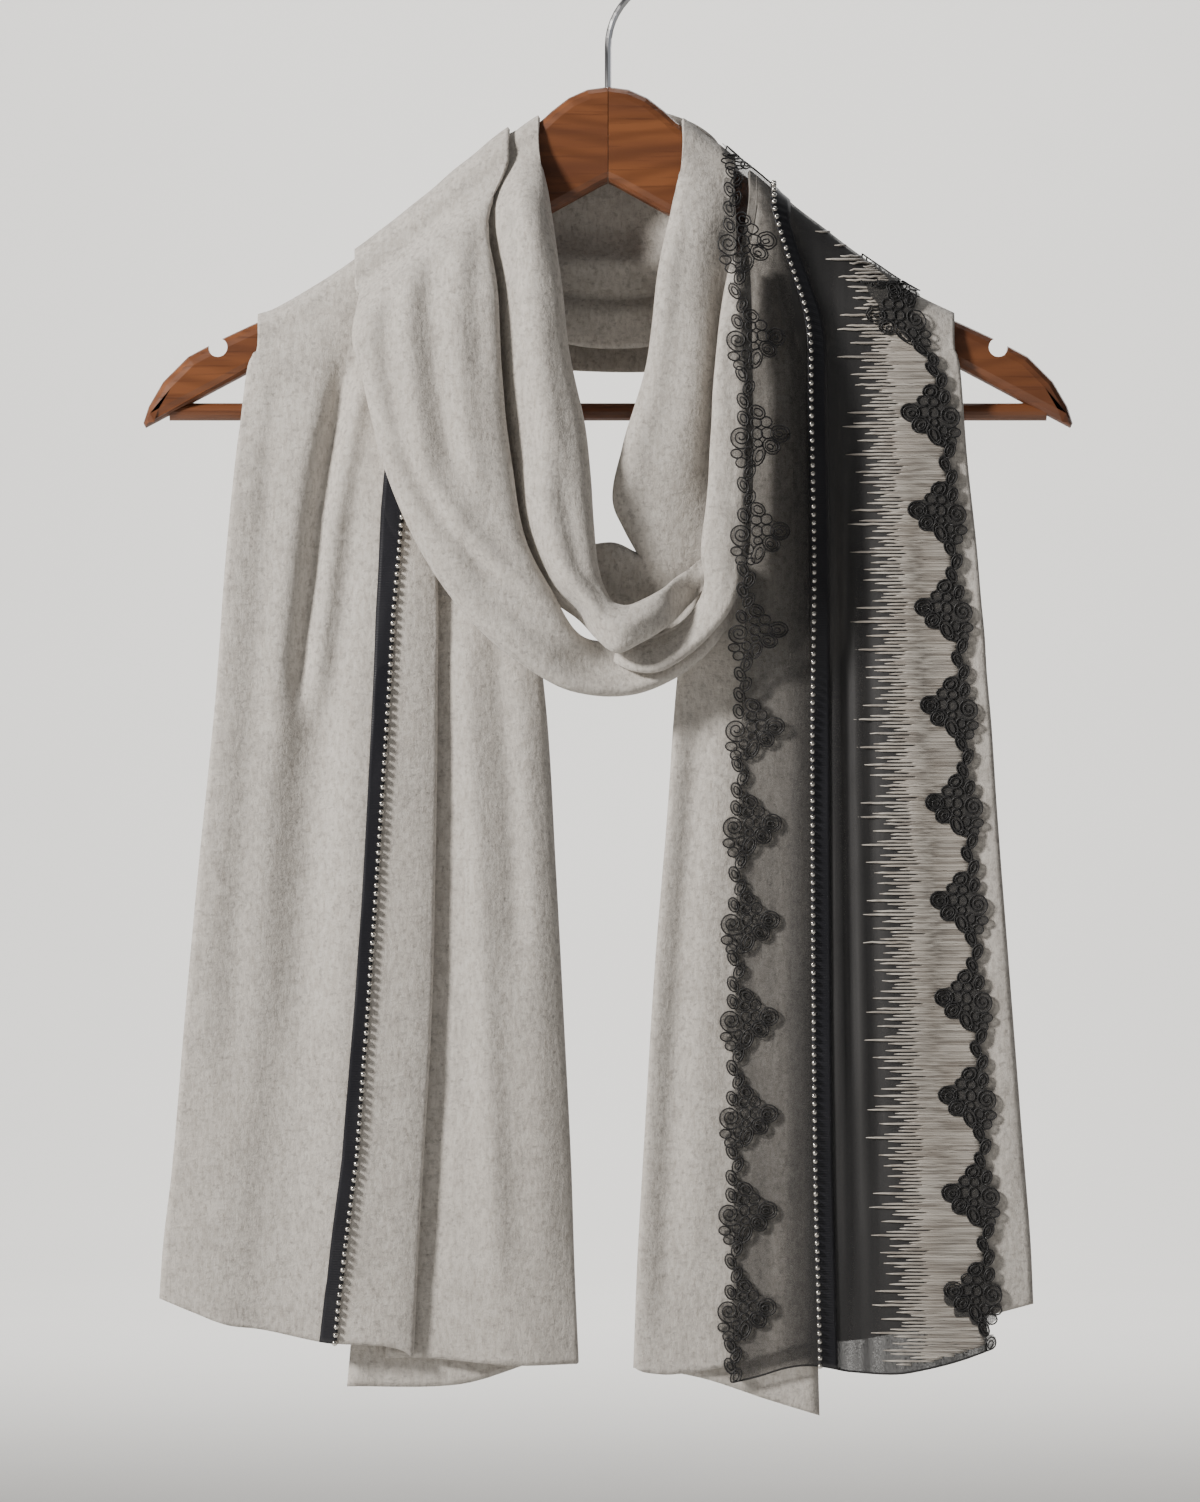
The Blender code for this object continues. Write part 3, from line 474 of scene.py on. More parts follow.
def smooth_through(grid, knots, places):
    """Rows at new places on smooth curves through the rows of a grid."""
    steps = np.diff(knots)[:, None, None]
    chords = np.diff(grid, axis=0) / steps
    slopes = np.empty_like(grid)
    slopes[0] = chords[0]
    slopes[-1] = chords[-1]
    slopes[1:-1] = (chords[:-1] * steps[1:] + chords[1:] * steps[:-1]) / (steps[:-1] + steps[1:])
    k = np.clip(np.searchsorted(knots, places, side="right") - 1, 0, len(knots) - 2)
    h = steps[k]
    t = (places - knots[k])[:, None, None] / h
    h00, h10, h01, h11 = hermite(t)
    return h00 * grid[k] + h10 * h * slopes[k] + h01 * grid[k + 1] + h11 * h * slopes[k + 1]


def lengths_along(line):
    return np.concatenate(([0.0], np.cumsum(np.linalg.norm(np.diff(line, axis=0), axis=1))))


def mesh_of(name, points, faces):
    """A mesh in metres, with the front at -Y, from points in millimetres."""
    made = bpy.data.meshes.new(name)
    made.from_pydata((np.reshape(points, (-1, 3)) * (MM, -MM, MM)).tolist(), [], faces)
    return made


class Grid:
    """Points of a cloth in rows along it and columns across it, with the section column each comes from."""

    def __init__(self, sections, spacing=2.5):
        points = np.array([[tuple(point) for point in row] for row in sections], float)
        knots = knots_of(points)
        places = places_for(knots, spacing, 1)
        points = smooth_through(points, knots, places)
        self.row = np.interp(places, knots, np.arange(len(knots)))
        self.along = places
        across = points.swapaxes(0, 1)
        knots = knots_of(across)
        places = places_for(knots, spacing, 2)
        self.points = smooth_through(across, knots, places).swapaxes(0, 1).copy()
        self.column = np.interp(places, knots, np.arange(len(knots)))
        self.across = places

    @classmethod
    def of(cls, points, row, column=0):
        """A grid of ready points, with its distances measured on its middle row and one of its columns."""
        made = cls.__new__(cls)
        made.points, made.row = points, row
        made.along, made.across = lengths_along(points[:, column]), lengths_along(points[len(points) // 2])
        return made

    def normals(self):
        """Unit normals; they point to the front where the columns run to the right and the rows down."""
        along = np.gradient(self.points, axis=0)
        across = np.gradient(self.points, axis=1)
        found = np.cross(across, along)
        found /= np.maximum(np.linalg.norm(found, axis=2, keepdims=True), 1e-9)
        return found

    def columns_between(self, first, last, soft=0.5):
        """1 on columns that come from the sections' columns first to last, fading outside them."""
        rise = np.clip((self.column - first) / soft + 1.0, 0.0, 1.0)
        fall = np.clip((last - self.column) / soft + 1.0, 0.0, 1.0)
        return (np.minimum(rise, fall))[None, :]

    def mesh(self, name):
        """The grid as a mesh in metres, with its distances across and along as UV."""
        rows, columns = self.points.shape[:2]
        corners = np.arange(rows * columns).reshape(rows, columns)
        faces = np.stack([corners[:-1, :-1], corners[1:, :-1], corners[1:, 1:], corners[:-1, 1:]], axis=-1)
        faces = faces.reshape(-1, 4)
        made = mesh_of(name, self.points, faces.tolist())
        layer = made.uv_layers.new(name="cloth")
        u = np.broadcast_to(self.across[None, :], (rows, columns)).ravel() * MM
        v = np.broadcast_to(self.along[:, None], (rows, columns)).ravel() * MM
        uv = np.stack([u[faces], v[faces]], axis=-1).reshape(-1)
        layer.data.foreach_set("uv", uv)
        return made


def piece(name, mesh, look, wall=None):
    thing = bpy.data.objects.new(name, mesh)
    mesh.materials.append(look)
    mesh.shade_smooth()
    bpy.context.scene.collection.objects.link(thing)
    if wall:
        solid = thing.modifiers.new("wall", "SOLIDIFY")
        solid.thickness = wall * MM
        solid.offset = 0.0
        solid.use_rim = True
    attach(thing, "root")
    return thing


def line_field(line, x, z):
    """Distance to a line of (x, z) points, which side of it, and the share of the way along it."""
    line = np.array(line, float)
    lengths = np.linalg.norm(np.diff(line, axis=0), axis=1)
    starts = np.concatenate(([0.0], np.cumsum(lengths)))
    nearest = np.full(x.shape, 1e9)
    side = np.zeros(x.shape)
    share = np.zeros(x.shape)
    for k, (a, b) in enumerate(zip(line, line[1:])):
        way = (b - a) / lengths[k]
        dx, dz = x - a[0], z - a[1]
        s = np.clip(dx * way[0] + dz * way[1], 0.0, lengths[k])
        gap = np.hypot(dx - s * way[0], dz - s * way[1])
        closer = gap < nearest
        nearest = np.where(closer, gap, nearest)
        side = np.where(closer, np.sign(dz * way[0] - dx * way[1]), side)
        share = np.where(closer, (starts[k] + s) / starts[-1], share)
    return nearest, side, share


TO_FULL_HEIGHT = 2.33                   # d * exp(-d * d) times this is 1 at its greatest


def relief(creases, x, z):
    """Height from creases, each (kind, width, height, line); the ends of a line fade out.

    A soft one is a ridge, or a trough where its height is negative. A fold is a ridge on the left of its
    line, seen along it, with a trough on the right, or the other way round where its height is negative."""
    total = np.zeros(x.shape)
    for kind, width, height, line in creases:
        distance, side, share = line_field(line, x, z)
        fade = smooth_ramp(np.minimum(share, 1.0 - share), 0.0, 0.2)
        d = distance / width
        if kind == "soft":
            total += height * fade * np.exp(-d * d)
        else:
            total += height * fade * side * d * TO_FULL_HEIGHT * np.exp(-d * d)
    return total


def uneven(x, z, size, height, seed):
    """Soft unevenness of a height, at a size in millimetres."""
    flat = [
        noise.noise(Vector((a / size, seed * 7.3, b / size))) for a, b in zip(x.ravel().tolist(), z.ravel().tolist())
    ]
    return np.array(flat).reshape(x.shape) * height


# Materials


class Look:
    """A Principled material in the making; constants are given by their socket's name with _ for a space."""

    def __init__(self, name, colour, roughness, **constants):
        self.material = bpy.data.materials.new(name)
        self.material.use_nodes = True
        self.tree = self.material.node_tree
        self.sockets = self.tree.nodes["Principled BSDF"].inputs
        for socket, value in dict(constants, Base_Color=(*colour, 1.0), Roughness=roughness).items():
            self.sockets[socket.replace("_", " ")].default_value = value

    def node(self, kind, *inputs, **settings):
        """A node; each of its inputs is a name and a number, colour or socket."""
        made = self.tree.nodes.new("ShaderNode" + kind)
        for name, value in settings.items():
            setattr(made, name, value)
        for name, value in inputs:
            self.put(made.inputs[name], value)
        return made

    def put(self, socket, value):
        if isinstance(value, bpy.types.NodeSocket):
            self.tree.links.new(value, socket)
        else:
            socket.default_value = value

    def place(self):
        return self.node("TexCoord").outputs["Object"]

    def noise(self, place, scale, stretch=(1, 1, 1), detail=2.0, turn=(0, 0, 0)):
        mapped = self.node("Mapping", ("Vector", place), ("Scale", stretch), ("Rotation", turn)).outputs[0]
        return self.node("TexNoise", ("Vector", mapped), ("Scale", scale), ("Detail", detail)).outputs["Fac"]

    def between(self, value, low, high, to_low=0.0, to_high=1.0):
        limits = ("Value", value), ("From Min", low), ("From Max", high), ("To Min", to_low), ("To Max", to_high)
        return self.node("MapRange", *limits).outputs["Result"]

    def maths(self, operation, a, b):
        return self.node("Math", (0, a), (1, b), operation=operation).outputs[0]

    def tint(self, share, a, b):
        """Colour a where the share is 0 and b where it is 1; a may be a socket."""
        a = a if isinstance(a, bpy.types.NodeSocket) else (*a, 1.0)
        return self.node("Mix", (0, share), (6, a), (7, (*b, 1.0)), data_type="RGBA").outputs[2]

    def bump(self, height, strength, distance):
        made = self.node("Bump", ("Height", height), ("Strength", strength), ("Distance", distance))
        self.put(self.sockets["Normal"], made.outputs["Normal"])

    def colour(self, colour):
        self.put(self.sockets["Base Color"], colour)

    def roughness(self, share, low, high, smooth, rough):
        self.put(self.sockets["Roughness"], self.between(share, low, high, smooth, rough))


def wool_material():
    """Felted melange wool: pale fibres with grey and brown ones through them."""
    pale, middle, grey, brown = (0.60, 0.565, 0.52), (0.47, 0.435, 0.395), (0.22, 0.20, 0.185), (0.19, 0.15, 0.12)
    look = Look("wool", pale, 0.95, Sheen_Weight=0.25, Sheen_Roughness=0.5, Specular_IOR_Level=0.15)
    place = look.place()
    down = look.noise(place, 520, (1.0, 1.0, 0.4), 3.0)
    across = look.noise(place, 560, (0.4, 1.0, 1.0), 3.0, (0.0, 0.35, 0.0))
    slanting = look.noise(place, 640, (1.0, 1.0, 0.3), 2.0, (0.0, -0.7, 0.0))
    flecks = look.noise(place, 430, detail=5.0)
    felt = look.noise(place, 1500)
    clouds = look.noise(place, 110, detail=4.0)
    broad = look.noise(place, 14)
    colour = look.tint(look.between(down, 0.40, 0.64), pale, middle)
    # Each layer over the one before: where it starts and is full, its share there, its colour
    for layer, low, high, from_share, to_share, over in (
        (across, 0.56, 0.74, 0.0, 0.5, grey),
        (slanting, 0.60, 0.78, 0.0, 0.5, brown),
        (flecks, 0.54, 0.70, 0.0, 0.62, grey),
        (felt, 0.3, 0.75, 0.35, 0.0, (0.72, 0.69, 0.64)),
        (clouds, 0.48, 0.75, 0.0, 0.26, (0.28, 0.255, 0.235)),
        (broad, 0.4, 0.7, 0.0, 0.12, (0.42, 0.37, 0.32)),
    ):
        colour = look.tint(look.between(layer, low, high, from_share, to_share), colour, over)
    look.colour(colour)
    nap = look.maths("ADD", look.maths("ADD", down, across), look.maths("MULTIPLY", felt, 0.6))
    look.bump(look.maths("ADD", nap, look.maths("MULTIPLY", clouds, 1.2)), 0.45, 0.0007)
    return look.material


def wood_material(name, slope):
    """Varnished brown wood with its grain along the arm, which slopes by an angle in radians."""
    look = Look(name, (0.28, 0.10, 0.04), 0.38, Coat_Weight=0.25, Coat_Roughness=0.25)
    place = look.place()
    turn = (0.0, slope, 0.0)
    grain = look.noise(place, 46, (0.12, 1.0, 1.6), 5.0, turn)
    fine = look.noise(place, 420, (0.05, 1.0, 1.3), 3.0, turn)
    mapped = look.node("Mapping", ("Vector", place), ("Rotation", turn), ("Scale", (0.25, 1.0, 1.0))).outputs[0]
    rings = look.node(
        "TexWave", ("Vector", mapped), ("Scale", 38.0), ("Distortion", 5.0), ("Detail", 3.0), ("Detail Scale", 1.2),
        bands_direction="Z",
    ).outputs["Fac"]
    pores = look.between(fine, 0.56, 0.72)
    colour = look.tint(look.between(grain, 0.3, 0.7), (0.25, 0.092, 0.036), (0.135, 0.045, 0.018))
    colour = look.tint(look.between(rings, 0.2, 1.0, 0.0, 0.4), colour, (0.09, 0.030, 0.012))
    look.colour(look.tint(look.maths("MULTIPLY", pores, 0.6), colour, (0.075, 0.024, 0.010)))
    look.roughness(grain, 0.3, 0.7, 0.30, 0.44)
    look.bump(look.maths("MULTIPLY", pores, -1.0), 0.25, 0.0003)
    return look.material


def worn_metal(name, colour, rough, wear, clean, dull, roughness):
    """Metal from clean to dull; wear gives its noise, roughness the shares of it and what they become."""
    look = Look(name, colour, rough, Metallic=1.0)
    worn = look.noise(look.place(), *wear)
    look.roughness(worn, *roughness)
    look.colour(look.tint(worn, clean, dull))
    return look.material


def sheer_material():
    """Black sheer cloth: a fine weave that lets part of the light through, denser right of the ribbon, with painted
    shade darkening it over the 14 mm left of there.
    """
    look = Look("black_sheer", (0.016, 0.016, 0.018), 0.6, Sheen_Weight=0.12, Sheen_Roughness=0.35)
    across = look.node("SeparateXYZ", (0, look.node("UVMap", uv_map="cloth").outputs[0])).outputs["X"]
    place = look.place()
    streaks = look.noise(place, 120, (1.0, 1.0, 0.05), 3.0)
    weave = look.noise(place, 1700, detail=1.0)
    # Painted shade: the cover ramps up over the 14 mm left of SHEER_CHANGE, a darker band beside the ribbon's beads
    cover = look.between(across, SHEER_CHANGE - 0.014, SHEER_CHANGE, *SHEER_COVER)
    cover = look.maths("ADD", cover, look.between(streaks, 0.3, 0.7, -0.07, 0.09))
    cover = look.maths("ADD", cover, look.between(weave, 0.3, 0.7, -0.06, 0.06))
    look.put(look.sockets["Alpha"], cover)
    look.colour(look.tint(streaks, (0.012, 0.012, 0.014), (0.035, 0.034, 0.034)))
    look.bump(streaks, 0.3, 0.0008)
    return look.material


def net_material(name, thin, thick, beside=0.0):
    """The dark net between the lace's cords, with its cover in its holes and on its threads.

    beside is its further cover left of the overlay's edge, where no sheer lies under it."""
    look = Look(name, (0.02, 0.02, 0.022), 0.7, Sheen_Weight=0.2)
    place = look.place()
    holes = look.node("TexVoronoi", ("Vector", place), ("Scale", 900.0), feature="DISTANCE_TO_EDGE")
    holes = holes.outputs["Distance"]
    cover = look.between(holes, 0.03, 0.25, thick, thin)
    if beside:
        x = look.node("SeparateXYZ", (0, place)).outputs["X"]
        cover = look.maths("ADD", cover, look.between(x, *NET_CHANGE, beside, 0.0))
    look.put(look.sockets["Alpha"], cover)
    look.colour(look.tint(holes, (0.030, 0.029, 0.029), (0.075, 0.072, 0.070)))
    return look.material


def cord_material():
    """Twisted black cord with a dull gloss."""
    look = Look("lace_cord", (0.010, 0.010, 0.012), 0.5, Sheen_Weight=0.1, Sheen_Roughness=0.3)
    twist = look.noise(look.place(), 1500)
    look.colour(look.tint(twist, (0.005, 0.005, 0.006), (0.024, 0.023, 0.024)))
    look.roughness(twist, 0.3, 0.7, 0.38, 0.62)
    look.bump(twist, 0.5, 0.0003)
    return look.material


def satin_material():
    """Black satin ribbon, ribbed finely across."""
    look = Look("black_satin", (0.008, 0.008, 0.011), 0.34, Sheen_Weight=0.15, Anisotropic=0.4)
    uv = look.node("UVMap", uv_map="cloth").outputs[0]
    ribs = look.node("TexWave", ("Vector", uv), ("Scale", 260.0), ("Distortion", 0.3), bands_direction="Y")
    blur = look.noise(uv, 90, (1.0, 0.2, 1.0))
    look.roughness(blur, 0.3, 0.7, 0.27, 0.42)
    look.colour(look.tint(blur, (0.006, 0.006, 0.009), (0.016, 0.016, 0.022)))
    look.bump(ribs.outputs["Fac"], 0.15, 0.0002)
    return look.material


def thread_material():
    """Silver-beige embroidery silk."""
    look = Look("stitch_silk", (0.56, 0.53, 0.48), 0.42, Sheen_Weight=0.3)
    place = look.place()
    rows = look.noise(place, 700, (0.03, 1.0, 1.0))
    patches = look.noise(place, 50, detail=3.0)
    colour = look.tint(look.between(rows, 0.38, 0.64), (0.54, 0.505, 0.455), (0.25, 0.225, 0.20))
    look.colour(look.tint(look.between(patches, 0.4, 0.75, 0.0, 0.35), colour, (0.42, 0.36, 0.30)))
    look.bump(look.noise(place, 2600, (0.25, 1.0, 1.0), 1.0), 0.3, 0.0002)
    return look.material


SHEER_CHANGE = 0.036                    # m from the overlay's left edge, under the ribbon
SHEER_COVER = (0.50, 0.92)              # left and right of there
NET_CHANGE = (0.059, 0.067)             # x in m, across the overlay's left edge
WOOL = wool_material()
SHEER = sheer_material()
NET_LEFT = net_material("lace_net_left", 0.05, 0.28, 0.38)
NET_RIGHT = net_material("lace_net_right", 0.62, 0.88)
CORD = cord_material()
SATIN = satin_material()
SILK = thread_material()
BEAD = worn_metal("silver_bead", (0.72, 0.70, 0.66), 0.2, (500,), (0.86, 0.84, 0.80), (0.48, 0.45, 0.41),
                  (0.3, 0.7, 0.12, 0.34))
CHROME = worn_metal("chrome_wire", (0.78, 0.78, 0.80), 0.14, (260, (1.0, 1.0, 0.15), 3.0), (0.80, 0.80, 0.82),
                    (0.66, 0.66, 0.68), (0.3, 0.75, 0.09, 0.26))
WOOD_LEFT = wood_material("wood_left", math.radians(-33))
WOOD_RIGHT = wood_material("wood_right", math.radians(33))
WOOD_BAR = wood_material("wood_bar", 0.0)


# The wool: creases and unevenness on the sections' fronts, in millimetres

# Creases of the left tail's front panel and of the panel right of the tuck: kind, width, height, line
LEFT_CREASES = (
    ("fold", 7.5, 5.6, ((-117, -196), (-123, -219), (-127.5, -239), (-132, -261), (-136, -286), (-139, -312),
                        (-143, -345), (-147, -390))),
    ("soft", 8.0, 2.6, ((-131, -205), (-140, -240), (-147, -290), (-152, -350), (-158, -420))),
    ("soft", 12.0, -3.4, ((-122, -255), (-130, -310), (-137, -372), (-143, -450), (-150, -560))),
    ("soft", 13.0, 2.2, ((-119, -330), (-122, -450), (-127, -560), (-131, -690))),
    ("soft", 11.0, 1.8, ((-176, -230), (-181, -330), (-190, -450), (-197, -560))),
    ("soft", 9.0, -1.6, ((-165, -260), (-170, -360), (-178, -470), (-184, -600))),
    ("soft", 5.0, -1.6, ((-180, -196), (-176, -218), (-174, -250))),
    ("soft", 5.0, -1.4, ((-158, -215), (-163, -250), (-166, -300))),
)
LEFT_UNDER_CREASES = (
    ("soft", 6.5, 3.4, ((-72, -300), (-68, -370), (-63, -450), (-58, -560), (-52, -680))),
    ("soft", 6.0, -2.8, ((-58, -295), (-52, -360), (-46, -440), (-42, -520))),
    ("soft", 9.0, 1.8, ((-38, -330), (-35, -450), (-32, -560), (-28, -680))),
    ("soft", 8.0, -3.0, ((-86, -300), (-85, -380), (-84, -480), (-86, -600), (-88, -690))),
)
RIGHT_CREASES = (
    ("soft", 9.0, -2.6, ((46, -345), (40, -420), (33, -520), (28, -620), (25, -700))),
    ("soft", 10.0, 1.8, ((54, -360), (50, -440), (45, -540), (42, -660))),
    ("soft", 8.0, 1.8, ((88, -165), (87, -240), (84, -330), (83, -420))),
    ("soft", 7.0, -1.4, ((80, -190), (78, -260), (76, -350))),
    ("soft", 12.0, -1.6, ((150, -250), (158, -380), (165, -520), (170, -650))),
    ("soft", 6.0, 1.4, ((177, -260), (184, -400), (192, -540), (198, -660))),
)
# The sheer overlay's own wrinkles, right of its ribbon
OVERLAY_CREASES = (
    ("soft", 2.6, 1.3, ((108.5, -215), (110, -300), (111, -420), (113, -560), (116, -690))),
    ("soft", 2.4, -1.1, ((112.5, -230), (114.5, -330), (116, -450), (118, -600))),
    ("soft", 3.0, 1.1, ((117, -225), (120, -320), (121.5, -440), (124, -590), (127, -690))),
    ("soft", 3.4, -0.9, ((123, -260), (126, -360), (128, -500), (131, -640))),
    ("soft", 3.0, 0.8, ((91, -230), (91.5, -330), (92.5, -470), (94, -600))),
    ("soft", 5.0, 0.7, ((142, -240), (149, -400), (156, -560))),
)
FELT_WAVES = ((46.0, 0.8, 1), (17.0, 0.28, 2))     # size, height, seed


def felt_waves(grid, towards, share=1.0):
    x, z = grid.points[..., 0], grid.points[..., 2]
    for size, height, seed in FELT_WAVES:
        grid.points += towards * (uneven(x, z, size, height, seed) * share)[..., None]


def over_the_arm(grid):
    """0 where the cloth lies over the arm, 1 where it hangs."""
    return smooth_ramp(grid.row, ARM_ROWS - 1.2, ARM_ROWS + 0.8)[:, None]


OUT = np.array((0.0, 1.0, 0.0))         # to the front
# Columns of the tails' sections that the creases are on
LEFT_FRONT, LEFT_SECOND, RIGHT_FRONT = (0, 4.4), (15.2, 17), (0, 7)


def left_tail_grid():
    grid = Grid(left_tail_sections())
    x, z = grid.points[..., 0], grid.points[..., 2]
    hangs = over_the_arm(grid)
    front = relief(LEFT_CREASES, x, z) * grid.columns_between(*LEFT_FRONT, 1.0)
    under = relief(LEFT_UNDER_CREASES, x, z) * grid.columns_between(*LEFT_SECOND, 0.8)
    felt_waves(grid, OUT, hangs)
    grid.points[..., 1] += (front + under) * np.maximum(hangs, 0.25)
    return grid


def right_tail_grid():
    grid = Grid(right_tail_sections())
    x, z = grid.points[..., 0], grid.points[..., 2]
    hangs = over_the_arm(grid)
    felt_waves(grid, OUT, hangs)
    grid.points[..., 1] += relief(RIGHT_CREASES, x, z) * grid.columns_between(*RIGHT_FRONT, 1.0) * hangs
    return grid


# Creases of the loop's stretches, by where they show from the front
OUTER_CREASES = (
    ("soft", 5.0, -2.8, ((-84, -150), (-86, -180), (-83, -215), (-78, -245), (-70, -275))),
    ("soft", 4.0, 2.0, ((-94, -160), (-96, -195), (-92, -235), (-84, -265))),
    ("soft", 3.6, -2.0, ((-104, -172), (-107, -200), (-104, -232), (-97, -255))),
    ("soft", 5.0, 2.2, ((-70, -140), (-72, -190), (-68, -240), (-58, -285))),
    ("soft", 3.5, -1.6, ((-62, -135), (-63, -180), (-60, -225))),
    ("soft", 5.0, -2.0, ((-72, -300), (-55, -325), (-32, -345), (-8, -357), (18, -357))),
    ("soft", 5.0, 1.6, ((-85, -280), (-66, -315), (-42, -342), (-14, -362))),
    ("fold", 5.0, 2.0, ((-100, -240), (-88, -268), (-72, -292), (-52, -312), (-30, -328))),
)
INNER_CREASES = (
    ("soft", 4.0, -2.2, ((-46, -120), (-44, -160), (-42, -200), (-37, -240), (-32, -275))),
    ("soft", 3.5, 1.7, ((-38, -118), (-34, -160), (-31, -205), (-25, -250), (-22, -290))),
    ("soft", 3.5, -1.7, ((-29, -240), (-21, -280), (-14, -308), (-2, -322), (12, -328))),
    ("soft", 3.0, 1.3, ((-50, -200), (-46, -245), (-37, -285), (-22, -318))),
)
STRIP_CREASES = (
    ("soft", 2.6, -0.9, ((58, -180), (60, -220), (60, -262), (57, -300))),
    ("soft", 2.6, 0.8, ((64, -200), (64, -245), (62, -290))),
)
RIGHT_WRAP_CREASES = (
    ("fold", 5.0, -3.2, ((43, -92), (43.4, -116), (42, -150), (38.5, -185), (34, -215))),
    ("soft", 5.0, 2.2, ((33, -120), (33, -165), (30, -205), (27, -240), (20, -270))),
    ("soft", 4.0, -2.4, ((50, -150), (48, -190), (41, -230), (32, -262), (22, -285))),
    ("soft", 5.0, 2.0, ((57, -150), (56, -200), (50, -240), (40, -275), (28, -300))),
)
# Rolls behind the neck, one over the other
BACK_CREASES = (
    ("fold", 5.0, -7.0, ((-44, -140), (-25, -150), (-8, -155.5), (10, -156), (27, -150), (46, -139))),
    ("fold", 5.0, -7.0, ((-50, -165), (-25, -175), (-4, -178.5), (14, -178), (27, -173), (48, -163))),
    ("fold", 4.5, -5.0, ((-66, -188), (-45, -192), (-22, -197.5), (0, -199.5), (22, -198), (44, -191))),
    ("soft", 3.0, 1.6, ((24, -112), (26, -125), (28, -140))),
    ("soft", 3.0, -1.6, ((18, -112), (20, -125), (21, -142))),
)


def band_grid(table, shoulder, creases, spacing=2.2):
    grid = Grid(band_sections(table, shoulder), spacing)
    normals = grid.normals()
    x, z = grid.points[..., 0], grid.points[..., 2]
    facing = smooth_ramp(normals[..., 1], 0.1, 0.7)
    felt_waves(grid, normals, 0.9)
    grid.points += normals * (relief(creases, x, z) * facing)[..., None]
    return grid


def back_grid(sections, creases=(), spacing=2.4):
    grid = Grid(sections, spacing)
    normals = grid.normals()
    felt_waves(grid, normals, 0.8)
    if creases:
        x, depth, z = (grid.points[..., k] for k in range(3))
        ahead = smooth_ramp(depth - np.median(depth), 0.5, 3.0)
        grid.points[..., 1] += relief(creases, x, z) * ahead
    return grid


def wool_pieces(left, right):
    back_outer = back_sections((-33.5, -122), (70, 167), (WRAP_LIFT, TAIL_LIFT), OUTER_BACK, OUTER_SWELL)
    back_inner = back_sections((-60, -169), (36, 61), (TAIL_LIFT, TAIL_LIFT), INNER_BACK, ROLLS)
    arms = ["hanger_arm_left", "hanger_arm_right"]
    for name, grid, held, rests_on in (
        ("left_tail", left, "folded", arms[:1]),
        ("right_tail", right, "folded", arms[1:]),
        ("outer_wrap", band_grid(OUTER_WRAP, OUTER_WRAP_SHOULDER, OUTER_CREASES), "folded", ["wool_left_tail"]),
        ("inner_wrap", band_grid(INNER_WRAP, INNER_WRAP_SHOULDER, INNER_CREASES), "folded", arms[:1]),
        ("side_strip", band_grid(SIDE_STRIP, None, STRIP_CREASES), "folded", ["wool_right_wrap"]),
        ("right_wrap", band_grid(RIGHT_WRAP, RIGHT_WRAP_SHOULDER, RIGHT_WRAP_CREASES), "folded", arms[1:]),
        ("neck_back_outer", back_grid(back_outer), "draped", arms),
        ("neck_back_inner", back_grid(back_inner, BACK_CREASES), "draped", arms),
    ):
        made = piece("wool_" + name, grid.mesh("wool_" + name), WOOL, WALL)
        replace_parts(made, name)


# Overlay, ribbons and beads: fine meshes of what lies on the tails

OVER_RIBBON = WALL / 2 + SHEER_WALL / 2 + 0.1
OVERLAY_COLUMNS = 54
OVERLAY_MIDDLE = 72.0                   # x where a row's height is taken
MARGIN = 6                              # further columns on both sides, which only the lace lies on
TO_THE_NECK = 6.0                       # how far the overlay's left edge leans to the neck over the arm
RIBBON_COLUMNS, RIBBON_WALL = 6, 0.5
BEAD_RADIUS, BEAD_PITCH = 1.35, 3.95
BEAD_STANDS = 0.8                       # share of its radius by which a bead's middle stands over the braid
BEADS_BESIDE = 1.5                      # from the satin's edge to the line of beads
BRAID = 2.3                             # the beads' own dark braid beside the ribbon
ROW_STEP = 2.5                          # mean distance of a grid's rows


class Front:
    """Finds points by row and x on a cloth's front, from columns that run one way across."""

    def __init__(self, points, normals):
        if points[points.shape[0] // 2, 0, 0] > points[points.shape[0] // 2, -1, 0]:
            points, normals = points[:, ::-1], normals[:, ::-1]
        self.points, self.normals = points, normals
        self.known = {}

    def at(self, row, x, out=0.0):
        row = min(max(row, 0.0), len(self.points) - 1.001)
        low = int(row)
        t = row - low
        found = []
        for k in (low, low + 1):
            xs = self.points[k, :, 0]
            place = [np.interp(x, xs, self.points[k, :, axis]) for axis in (1, 2)]
            way = np.array([np.interp(x, xs, self.normals[k, :, axis]) for axis in range(3)])
            found.append(np.array((x, *place)) + way * out)
        return found[0] * (1 - t) + found[1] * t

    def heights(self, x):
        """Height of every row at x, which may be a number for each row."""
        xs = np.broadcast_to(x, len(self.points))
        return np.array([np.interp(a, row[:, 0], row[:, 2]) for a, row in zip(xs, self.points)])

    def row_at(self, x, z, behind=False):
        """Row where the cloth passes a height at x; above the arm's top it runs on over the arm."""
        key = round(x)
        if key not in self.known:
            heights = self.heights(float(key))
            self.known[key] = heights, int(np.argmax(heights))
        heights, top = self.known[key]
        if z > heights[top]:
            return top - (z - heights[top]) / ROW_STEP
        if behind:
            return float(np.interp(z, heights[: top + 1], np.arange(top + 1)))
        return float(np.interp(-z, -heights[top:], np.arange(top, len(heights))))


def front_of(grid, first, last):
    columns = (grid.column >= first) & (grid.column <= last)
    normals = grid.normals()[:, columns]
    if normals[..., 1].mean() < 0:
        normals = -normals
    return Front(grid.points[:, columns], normals)


